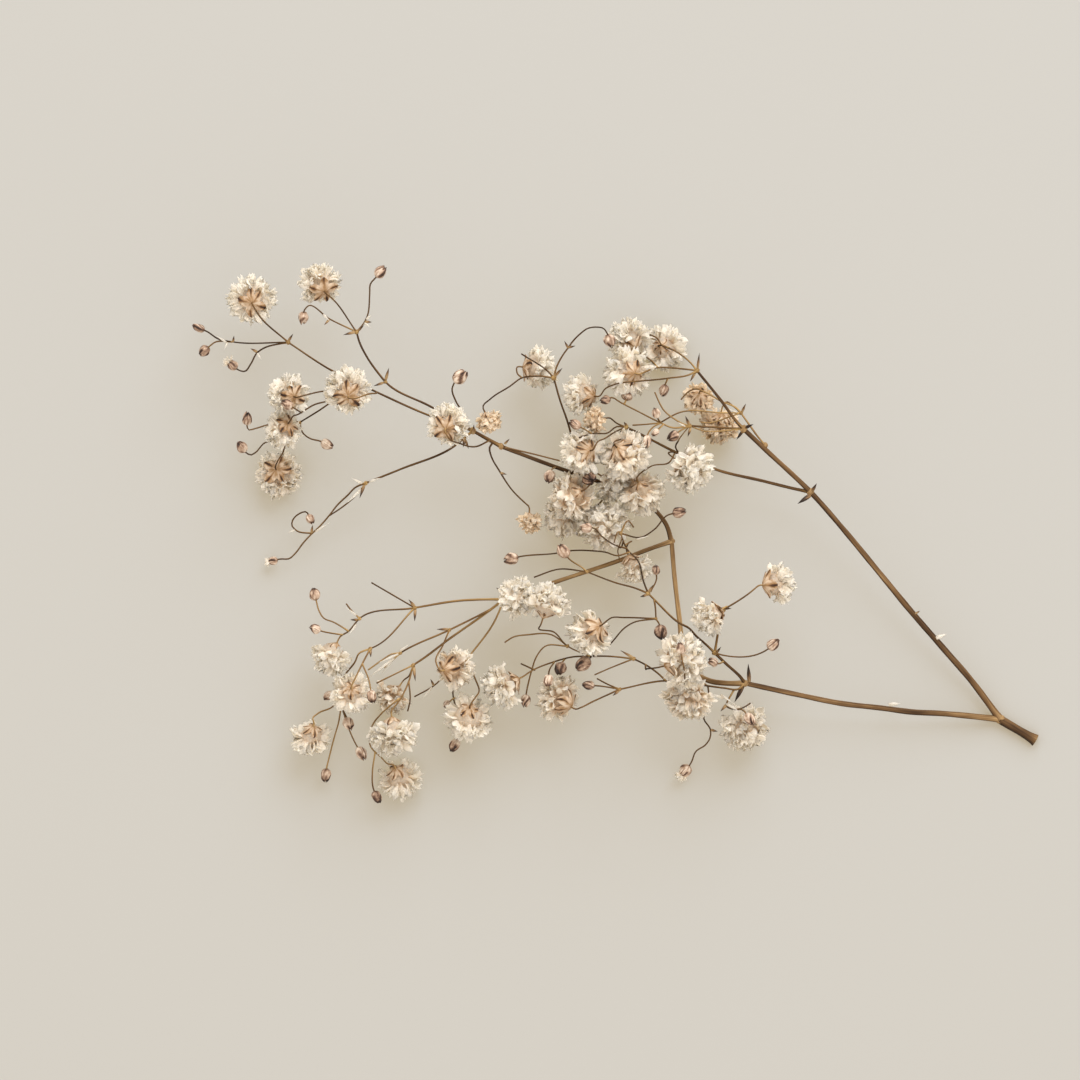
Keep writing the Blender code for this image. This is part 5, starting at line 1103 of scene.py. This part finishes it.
# %% [markdown]
# ## Petals
# The double form has about a hundred petals in place of five. They are blunt, paper thin and
# badly creased, and they stand out from a small heart in all directions but back. A petal is a
# flattened closed tube. All the petals of a head are computed in one array, each with its own
# fold, ruffle, twist and curl, so no two are alike.

# %% The petal surfaces
PETALS_PER_MM = 32  # petals in an open head for each mm of its radius
PETAL_ROWS = np.array([0.0, 0.25, 0.48, 0.66, 0.82, 0.93, 1.0])
PETAL_ACROSS = np.array([1.0, 0.92, 0.35, -0.35, -0.92, -1.0, -0.92, -0.35, 0.35, 0.92])
PETAL_FACE = np.array([0, 1, 1, 1, 1, 0, -1, -1, -1, -1])
PETAL_THICK = 0.04  # mm from the middle of the sheet to either face
GOLDEN = np.pi * (3.0 - math.sqrt(5.0))  # the angle from one petal to the next
BEND = 1.6  # radians, the most that a petal turns, near its tip
BEND_FROM, BLUNT_FROM = 0.48, 0.86  # where along a petal it starts to turn, and to narrow
ROOT_OUT = 0.08  # the roots' distance from the heart's middle, in radii


def petals_about(heart, axis, radius, fold_back, dry, draw):
    """All petals of a head at once, as arrays of shape (petals, rows, columns).

    Petal k points away from the heart: its height on the ball falls evenly with k down to fold_back,
    and its azimuth grows by the golden angle. Its middle line is the running sum of short steps,
    whose heading turns with t, most near the tip. A point is middle(t) + width(t) * s * across +
    lift(t, s) * rise, with s from edge to edge. The lift adds a fold with s squared, two ruffles
    sin(f * s + phase), a wave along t and the thickness, plus on one face and minus on the other.
    The number before the draw is taken off the tone: real cream for some heads, painted shade for others
    that lie in shadow.
    """
    petals = round(PETALS_PER_MM * radius * (1.4 - fold_back) / 1.9)  # fewer in a narrow brush
    side, up = frame_of_axis(axis)
    polar = np.arccos(np.linspace(0.99, fold_back, petals)) + draw.normal(0, 0.08, petals)
    azimuth = np.arange(petals) * GOLDEN + draw.normal(0, 0.14, petals)
    way = np.sin(polar)[:, None] * around_axis(azimuth, side, up) + np.cos(polar)[:, None] * axis
    across = unit(np.cross(axis, way))
    rise = np.cross(way, across)
    twist = draw.normal(0, 0.7, petals)[:, None]
    across, rise = (np.cos(twist) * across + np.sin(twist) * rise,
                    np.cos(twist) * rise - np.sin(twist) * across)

    def each(low, high):
        return draw.uniform(low, high, petals)[:, None, None]

    t = PETAL_ROWS[None, :, None]
    s = PETAL_ACROSS[None, None]
    turn = draw.choice([-BEND, BEND], petals)[:, None, None] * each(0, 1) ** 0.6
    bent = np.clip((t - BEND_FROM) / (1.0 - BEND_FROM), 0, 1) ** 1.3
    heading = each(-0.3, 0.3) * t + turn * bent
    long = radius * each(0.88, 1.08)
    step = np.diff(PETAL_ROWS, prepend=0.0)[None, :, None] * long
    out = ROOT_OUT * radius + np.cumsum(np.cos(heading) * step, axis=1)
    off = np.cumsum(np.sin(heading) * step, axis=1)
    spread = 0.25 + 0.75 * np.sin(0.5 * np.pi * np.clip(t / 0.8, 0, 1)) ** 1.3
    blunt = 1.0 - 0.4 * np.clip((t - BLUNT_FROM) / (1.0 - BLUNT_FROM), 0, 1) ** 2
    width = radius * each(0.13, 0.24) * spread * blunt
    fold = each(-0.5, 0.5) * width * s**2
    ruffle = each(0.03, 0.08) * long * t * np.sin(s * each(2.0, 4.0) + each(*PHASE) + 2.5 * t)
    crinkle = each(0.02, 0.05) * long * t * np.sin(s * each(5.0, 8.0) + each(*PHASE) + t * each(3, 7))
    wave = each(0.0, 0.03) * long * t * np.sin(t * each(9, 14) + each(*PHASE))
    lift = fold + ruffle + crinkle + wave + PETAL_THICK * (1.0 - 0.7 * t) * PETAL_FACE
    ragged = t**4 * 0.09 * long * np.sin(s * each(3, 8) + each(*PHASE))
    rings = (heart + (out + ragged - np.sin(heading) * lift)[..., None] * way[:, None, None]
             + (width * s)[..., None] * across[:, None, None]
             + (off + np.cos(heading) * lift)[..., None] * rise[:, None, None])
    return closed_surfaces(rings, grain_of(s * width, t * long, each(*NOISE)), t - dry + each(-0.15, 0.12))


print("An open head has", PETALS_PER_MM, "petals for each mm of its radius")

# %% [markdown]
# ## Heads
# The innermost petals never opened: they stay crumpled into a ball, which closes the gaps between
# the others. The heart lies ahead of the calyx on the head's own axis. Where the petals of a young
# head leave more of the ball bare, it has to be smaller.

# %% A head round its heart
HEART_AHEAD = 0.55  # calyx base to heart, in radii
BALL_AHEAD = 0.1  # heart to the middle of its ball, in radii
OPEN_BALL, YOUNG_BALL = 0.6, 0.5  # the ball's radius in an open head and in a brush, in radii
HEART_TONE = 0.34  # the cream of the inner petals, partly painted shade deep in the head


def crumpled_heart(centre, axis, radius, dry, draw):
    """A ball, p from its pole and a round it in radians; its dents are products of sines."""
    p, a = ball_angles(11, 20, 0.15)
    dent = 0.12 * np.sin(4 * a + draw.uniform(*PHASE)) * np.sin(3 * p + draw.uniform(*PHASE))
    dent = dent + 0.09 * np.sin(7 * a + 3 * p + draw.uniform(*PHASE))
    size = radius * (1.0 + dent * np.sin(p))
    shape = grain_of(np.sin(p) * np.cos(a), np.sin(p) * np.sin(a), -np.cos(p)) * size[..., None]
    side, up = frame_of_axis(axis)
    return closed_surfaces(centre + shape @ np.stack([side, up, axis]), shape, HEART_TONE - dry)


def head_surfaces(bloom, radius, fold_back, dry, draw):
    """The petals of a head round its crumpled heart, both on the bloom's axis."""
    axis = bloom_axis(bloom)
    heart = bloom_base(bloom) + axis * HEART_AHEAD * radius
    ball_radius = radius * (OPEN_BALL if fold_back < 0 else YOUNG_BALL)
    ball = crumpled_heart(heart + axis * BALL_AHEAD * radius, axis, ball_radius, dry, draw)
    return [petals_about(heart, axis, radius, fold_back, dry, draw), ball]


print("The heart is", HEART_AHEAD, "radii ahead of the calyx")

# %% [markdown]
# ## Colours and nodes
# Colours are easiest to read off a picture as sRGB hex. Blender's sockets want linear light, so one
# function converts them. One more adds a node with its settings and links, which keeps a material
# readable as a list of what feeds what.

# %% Colour and node helpers


def linear(code):
    """sRGB hex to linear light: c / 12.92 if c is small, else ((c + 0.055) / 1.055) to the power 2.4."""
    channels = np.array([int(code[start:start + 2], 16) for start in (1, 3, 5)]) / 255.0
    light = np.where(channels <= 0.04045, channels / 12.92, ((channels + 0.055) / 1.055) ** 2.4)
    return (*light.tolist(), 1.0)


def add_node(tree, kind, settings=None, **inputs):
    """A node with its settings; an input is a value, or another node's output to link from.

    A name's underscores stand for spaces, and an underscore with a number is an input by its place.
    """
    node = tree.nodes.new(kind)
    for name, value in (settings or {}).items():
        setattr(node, name, value)
    for name, value in inputs.items():
        key = int(name[1:]) if name[1:].isdigit() else name.replace("_", " ")
        if isinstance(value, bpy.types.NodeSocket):
            tree.links.new(value, node.inputs[key])
        else:
            node.inputs[key].default_value = value
    return node


def new_finish(name):
    """A material with no nodes yet."""
    finish = bpy.data.materials.new(name)
    finish.use_nodes = True
    finish.node_tree.nodes.clear()
    return finish, finish.node_tree


def show(tree, shader):
    """Makes a shader the one that the material shows."""
    add_node(tree, "ShaderNodeOutputMaterial", Surface=shader.outputs[0])


def colour_ramp(tree, factor, *stops):
    """A ramp through (place, hex colour) stops, given from 0 to 1."""
    ramp = add_node(tree, "ShaderNodeValToRGB", Fac=factor)
    elements = ramp.color_ramp.elements
    for place, _ in stops[1:-1]:
        elements.new(place)
    for element, (_, code) in zip(elements, stops):
        element.color = linear(code)
    return ramp.outputs["Color"]


print("White is", linear("#ffffff"))

# %% [markdown]
# ## Following the plant
# Every piece carries two attributes. The grain says where a point is on its part, so noise that is
# squeezed across and stretched along it draws fibres and veins. The tone says where on the
# material's ramp of colours the point lies, and the noise only breaks its edges.

# %% Noise, tone and relief


def attribute(tree, name, output):
    return add_node(tree, "ShaderNodeAttribute", {"attribute_name": name}).outputs[output]


def streaks(tree, scale, detail, roughness=0.6):
    """Noise on the grain attribute, with scale cells for each unit of its three numbers."""
    mapped = add_node(tree, "ShaderNodeMapping", Vector=attribute(tree, "grain", "Vector"), Scale=scale)
    return add_node(tree, "ShaderNodeTexNoise", Vector=mapped.outputs["Vector"], Scale=1.0,
                    Detail=detail, Roughness=roughness).outputs["Fac"]


def blend_sum(tree, first, second, share):
    """first + (second - 0.5) * share, held between 0 and 1."""
    centred = add_node(tree, "ShaderNodeMath", {"operation": "SUBTRACT"}, _0=second, _1=0.5).outputs[0]
    return add_node(tree, "ShaderNodeMath", {"operation": "MULTIPLY_ADD", "use_clamp": True},
                    _0=centred, _1=share, _2=first).outputs[0]


def relief(tree, height, strength, distance, **under):
    """Bump whose full height is distance metres."""
    return add_node(tree, "ShaderNodeBump", Height=height, Strength=strength, Distance=distance,
                    **under).outputs["Normal"]


def thin_tissue(tree, see_through, colour, through, normal, **skin):
    """A matt skin of one colour, mixed with light that comes through in another."""
    front = add_node(tree, "ShaderNodeBsdfPrincipled", Base_Color=colour, Normal=normal, **skin)
    back = add_node(tree, "ShaderNodeBsdfTranslucent", Color=through, Normal=normal)
    show(tree, add_node(tree, "ShaderNodeMixShader", Fac=see_through, _1=front.outputs[0],
                        _2=back.outputs[0]))


print("Materials read the grain and the tone")

# %% [markdown]
# ## Dried stem
# The stem is a dried herb's skin: no bark, only a matt, slightly waxy layer that has shrunk on to
# fine lengthwise fibres. The eye sees straw tan where it thins over a fibre, brown between, and
# darker patches with age. The streaks are about a tenth of a millimetre wide.

# %% The stem finish


def stem_finish(name, *stops):
    """Dried herb stem: tone and streaks pick the colour, fibres make the bump, matt with a faint wax."""
    finish, tree = new_finish(name)
    fibres = streaks(tree, (2.2, 2.2, 0.12), 4.0)
    patches = streaks(tree, (0.5, 0.5, 0.2), 2.0)
    mixed = blend_sum(tree, blend_sum(tree, attribute(tree, "tone", "Fac"), fibres, 1.0), patches, 0.6)
    show(tree, add_node(tree, "ShaderNodeBsdfPrincipled", Base_Color=colour_ramp(tree, mixed, *stops),
                        Roughness=0.75, Specular_IOR_Level=0.25, IOR=1.45,
                        Normal=relief(tree, fibres, 0.5, 0.00006)))
    return finish


dried_stem = stem_finish("dried_herb_stem", (0.0, "#aa8c62"), (0.35, "#6f5436"), (0.65, "#46311d"),
                         (1.0, "#261a0f"))
dried_twig = stem_finish("dried_herb_twig", (0.0, "#b19361"), (0.3, "#735633"), (0.6, "#432f1c"),
                         (1.0, "#22180f"))
print(dried_stem.name, dried_twig.name)

# %% [markdown]
# ## Papery scales
# Bracts, buds and calyces are sepal tissue: thin, matt, and a little see-through at the margins.
# Drying leaves the margins cream or pinkish and turns each rib dark.

# %% The scale finishes


def scale_finish(name, see_through, *stops):
    """Dried sepal tissue: matt skin mixed with a little translucency, fine veins along it."""
    finish, tree = new_finish(name)
    veins = streaks(tree, (5.0, 5.0, 0.8), 3.0)
    mixed = blend_sum(tree, blend_sum(tree, attribute(tree, "tone", "Fac"), veins, 0.6),
                      streaks(tree, (1.2, 1.2, 0.9), 2.0), 0.9)
    colour = colour_ramp(tree, mixed, *stops)
    thin_tissue(tree, see_through, colour, colour, relief(tree, veins, 0.35, 0.00005),
                Roughness=0.6, IOR=1.45)
    return finish


dried_bract = scale_finish("dried_bract", 0.25, (0.0, "#c8ac80"), (0.45, "#94734f"), (0.7, "#4d3726"),
                           (1.0, "#2a1d14"))
dried_bud = scale_finish("dried_bud_sepal", 0.15, (0.0, "#ecdccb"), (0.3, "#b79a84"), (0.6, "#694d3e"),
                         (1.0, "#2d1f19"))
dried_calyx = scale_finish("dried_calyx_sepal", 0.35, (0.0, "#eddcc6"), (0.35, "#b99368"),
                           (0.65, "#6b4b34"), (1.0, "#33221a"))
print(dried_bract.name, dried_bud.name, dried_calyx.name)

# %% [markdown]
# ## Dried petals
# A dried petal is cellulose paper less than a tenth of a millimetre thick: white at the tip, cream
# towards the root, and lit from behind as much as from the front. The cream towards the root is
# partly its own colour and partly painted shade, where the petals lie deep in the head. Fine veins
# run along it. The Translucent shader passes light through, and the veins come from noise
# stretched along the petal.

# %% The petal finishes


def petal_finish(name, see_through, through, *stops):
    """Dried petal: colour by place along the petal, veins, and light that is warmed on its way through."""
    finish, tree = new_finish(name)
    veins = streaks(tree, (5.0, 0.7, 3.0), 3.0, roughness=0.55)
    colour = colour_ramp(tree, blend_sum(tree, attribute(tree, "tone", "Fac"), veins, 0.5), *stops)
    folds = add_node(tree, "ShaderNodeTexNoise", Vector=attribute(tree, "grain", "Vector"), Scale=1.8,
                     Detail=2.0).outputs["Fac"]
    crumple = relief(tree, folds, 0.6, 0.0005)
    warm = add_node(tree, "ShaderNodeMix", {"data_type": "RGBA", "blend_type": "MULTIPLY"}, Factor=1.0)
    tree.links.new(colour, warm.inputs["A"])
    warm.inputs["B"].default_value = linear(through)
    thin_tissue(tree, see_through, colour, warm.outputs["Result"],
                relief(tree, veins, 0.5, 0.00012, Normal=crumple), Roughness=0.7, IOR=1.4)
    return finish


# the cream low on each ramp is partly the petals' own colour and partly painted shade where they lie deep
# in a head
white_petal = petal_finish("dried_white_petal", 0.58, "#fffcf2", (0.0, "#dcc2a0"), (0.25, "#f1e1cc"),
                           (0.5, "#fefaf5"), (1.0, "#fffefd"))
ochre_petal = petal_finish("withered_petal", 0.5, "#fff5e6", (0.0, "#d9bd94"), (0.35, "#eddbc0"),
                           (0.65, "#f7ecd8"), (1.0, "#fdf6e8"))
print(white_petal.name, ochre_petal.name)

# %% [markdown]
# ## Growing the sprays
# Each CAD spray gives way to its twigs and joints, with its bracts, buds and calyces as pieces of
# their own, so that each kind has its own finish. The random draws are seeded by the spray's place
# in the list, so every run grows the same plant.

# %% Twigs, bracts, buds and calyces
STEM_SEED = 100
COLLAR = 0.7  # a joint's radius here, as a share of the CAD model's
SMALL_BELL = 0.7  # the size of a small calyx beside an ordinary one
SMALL_BELLS = {7, 12, 14, 21, 24, 27, 28, 29, 31, 32, 33, 34, 41, 43, 44}
CUPPED, STARRED = 0.1, 0.8  # how flat a calyx is, ordinary or spread into a star
STARS = {1, 2, 3, 4, 5, 8, 19, 20}


def short_name(spray):
    return spray.name.replace("spray_", "")


for number, spray in enumerate(SPRAYS):
    draw = np.random.default_rng(STEM_SEED + number)
    stout = spray.name == "main_stem"
    body = [twig_surface(twig, draw) for twig in spray.twigs]
    body += [joint_surface(place, radius * COLLAR, draw) for place, radius in spray.joints]
    make_piece(f"twigs_{short_name(spray)}", body, dried_stem if stout else dried_twig,
               spray.name)
    buds = [bud_surface(twig, draw) for twig in spray.twigs if twig.bud_size]
    calyces = [calyx_surface(BLOOMS[twig.bloom], SMALL_BELL if twig.bloom in SMALL_BELLS else 1.0,
                             STARRED if twig.bloom in STARS else CUPPED, draw)
               for twig in spray.twigs if twig.bloom]
    bracts = [bract_surface(bract, draw) for bract in spray.bracts]
    for kind, surfaces, finish in (("buds", buds, dried_bud), ("calyces", calyces, dried_calyx),
                                   ("bracts", bracts, dried_bract)):
        if surfaces:
            make_piece(f"{kind}_{short_name(spray)}", surfaces, finish)
print(len(PIECES), "pieces of stem")

# %% [markdown]
# ## Setting the heads
# Every CAD bloom gives way to its own petals. Keeping one piece for each head lets any of them be
# moved, recoloured or left out later. In the thick of the plant the solids had to stay apart, so
# many heads grow fuller here and reach into each other. The younger ones are still brushes: their
# petals fan forward and hardly fold back over the calyx. Some of the white heads have gone cream,
# and some that lie in shadow are made darker and browner the same way: painted shade.

# %% The heads
HEAD_SEED = 500
BALL = -0.45  # the cosine down to which an open head folds back
FULLER = {1: 3.8, 2: 3.4, 9: 3.4, 10: 3.6, 11: 3.9, 12: 3.6, 15: 3.7, 16: 4.0, 17: 3.9, 21: 3.8, 22: 3.6,
          23: 4.0, 24: 3.8, 25: 3.2, 26: 3.1, 33: 3.4, 34: 3.9, 35: 3.8, 36: 3.8, 37: 3.8, 38: 3.3,
          40: 4.3, 41: 4.1, 43: 3.7}  # mm, the radius of a head that is fuller than its solid
BRUSHES = {2: -0.3, 8: -0.2, 9: -0.1, 26: 0.05, 27: -0.1, 29: 0.0, 30: 0.0, 31: -0.2, 32: 0.05, 33: -0.2,
           34: -0.1, 35: 0.0, 36: -0.1, 37: 0.0, 38: 0.2, 39: 0.15, 41: -0.1, 43: -0.2,
           44: -0.1}  # the same cosine, for a head that is still a brush
# painted shade: heads that lie in shadow, such as 16, 20, 40, 41 and 42, are moved down the ramp as if they
# had gone cream
CREAM_AND_SHADE = {16: 0.15, 20: 0.1, 21: 0.25, 22: 0.1, 23: 0.1, 24: 0.15, 26: 0.1, 30: 0.2, 36: 0.2, 40: 0.12,
         41: 0.3, 42: 0.12, 44: 0.3}  # how far a head is moved down the petals' ramp, for real cream in some and painted shade in others
for number, bloom in BLOOMS.items():
    draw = np.random.default_rng(HEAD_SEED + number)
    finish, slot = (ochre_petal, "ochre_petals") if bloom.ochre else (white_petal, "white_petals")
    head = head_surfaces(bloom, FULLER.get(number, bloom.radius), BRUSHES.get(number, BALL),
                         CREAM_AND_SHADE.get(number, 0.0), draw)
    make_piece(f"petals_{number:02d}", head, finish, f"bloom_{number:02d}")
print(sum(len(piece.data.polygons) for piece in PIECES), "faces in", len(PIECES), "pieces")

# %% [markdown]
# ## Opening buds and shreds
# Three buds have begun to open and show the first white petals: the same petals, fewer and
# smaller, in a narrow brush from the middle of the bud. Shreds of white tissue have also dried on
# to some joints, and take the petals' finish.

# %% Opening buds and shreds
SHRED_SEED = 900
BRUSH_FOOT, BRUSH_RADIUS = 0.2, 1.5  # in bud sizes, how far ahead a brush starts and its radius
BRUSH_SPREAD = 0.75  # the cosine down to which its petals spread
for number, spray in enumerate(SPRAYS):
    draw = np.random.default_rng(SHRED_SEED + number)
    shreds = [bract_surface(wisp, draw) for wisp in spray.wisps]
    for twig in spray.twigs:
        if twig.opening:
            way = unit(twig.path[-1] - twig.path[-2])
            foot = twig.path[-1] + BRUSH_FOOT * twig.bud_size * way
            shreds.append(petals_about(foot, way, BRUSH_RADIUS * twig.bud_size, BRUSH_SPREAD, 0.0, draw))
    if shreds:
        make_piece(f"shreds_{short_name(spray)}", shreds, white_petal)
print(len(PIECES), "pieces in all")

# %% [markdown]
# ## The floor
# The plant lies on a pale warm board. Light that sinks into a milky surface comes up again in the
# shadows and leaves them warm instead of grey. Here that is painted light: the board reflects a
# bluish grey and adds a faint warm glow of its own, which lifts and warms its shadows.

# %% The floor
FLOOR_HALF = 3.0  # m
floor_mesh = bpy.data.meshes.new("floor")
corners = [(x * FLOOR_HALF, y * FLOOR_HALF, 0.0) for x, y in ((-1, -1), (1, -1), (1, 1), (-1, 1))]
floor_mesh.from_pydata(corners, [], [(0, 1, 2, 3)])
floor = bpy.data.objects.new("floor", floor_mesh)
bpy.context.scene.collection.objects.link(floor)
board, board_tree = new_finish("pale_board_painted_glow")
# painted light: a faint warm glow of the board's own lifts its shadows, and the bluish grey it reflects
# keeps the sum pale and even
show(board_tree, add_node(board_tree, "ShaderNodeBsdfPrincipled", Base_Color=linear("#828fa0"),
                          Roughness=0.9, Emission_Color=linear("#97804f"), Emission_Strength=1.0))
floor_mesh.materials.append(board)
floor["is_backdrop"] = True
print("Floor", 2 * FLOOR_HALF, "m wide")

# %% [markdown]
# ## The light
# The photograph is plain: a bright room that fills the shadows, and one broad soft window beyond
# the top edge, a little to the right. A large square lamp has the window's soft edge of shadow.

# %% The light
ROOM_LIGHT = 1.22
world = bpy.data.worlds.new("room")
world.use_nodes = True
world.node_tree.nodes["Background"].inputs["Color"].default_value = linear("#fbf2e6")
world.node_tree.nodes["Background"].inputs["Strength"].default_value = ROOM_LIGHT
bpy.context.scene.world = world


def soft_light(name, place, size, power, code):
    """A square lamp that faces the plant: its place and size in metres, its power in watts."""
    lamp = bpy.data.lights.new(name, "AREA")
    lamp.size = size
    lamp.energy = power
    lamp.color = linear(code)[:3]
    holder = bpy.data.objects.new(name, lamp)
    holder.location = place
    holder.rotation_euler = (-holder.location).to_track_quat("-Z", "Y").to_euler()
    bpy.context.scene.collection.objects.link(holder)
    return holder


key_light = soft_light("window_light", place=(0.32, 1.05, 0.85), size=1.2, power=17.5, code="#fdfcfa")
print("One lamp at", tuple(round(value, 2) for value in key_light.location))

# %% [markdown]
# ## The camera
# It looks straight down through a long lens from two metres up, so near and far parts keep one
# scale and the plan keeps its proportions. The picture is 180 mm wide at the middle height of the
# spray, and the lens is as long as that width asks for.

# %% The camera
FRAME_MM = 180.0
LENS_DISTANCE = 2.0  # m
SENSOR_MM = 36.0
FRAME_CENTRE = np.array([-10.0, -1.0, 10.0]) # plan mm
camera = bpy.data.objects.new("camera", bpy.data.cameras.new("camera"))
camera.data.sensor_fit = "HORIZONTAL"
camera.data.sensor_width = SENSOR_MM
camera.data.lens = SENSOR_MM * LENS_DISTANCE / (FRAME_MM * MM)
camera.data.clip_end = 20.0
camera.location = (FRAME_CENTRE - PLAN_CENTRE) * MM + np.array([0.0, 0.0, LENS_DISTANCE])
bpy.context.scene.collection.objects.link(camera)
bpy.context.scene.camera = camera
bpy.context.scene.view_settings.view_transform = "Standard"
print("Lens", round(camera.data.lens), "mm")
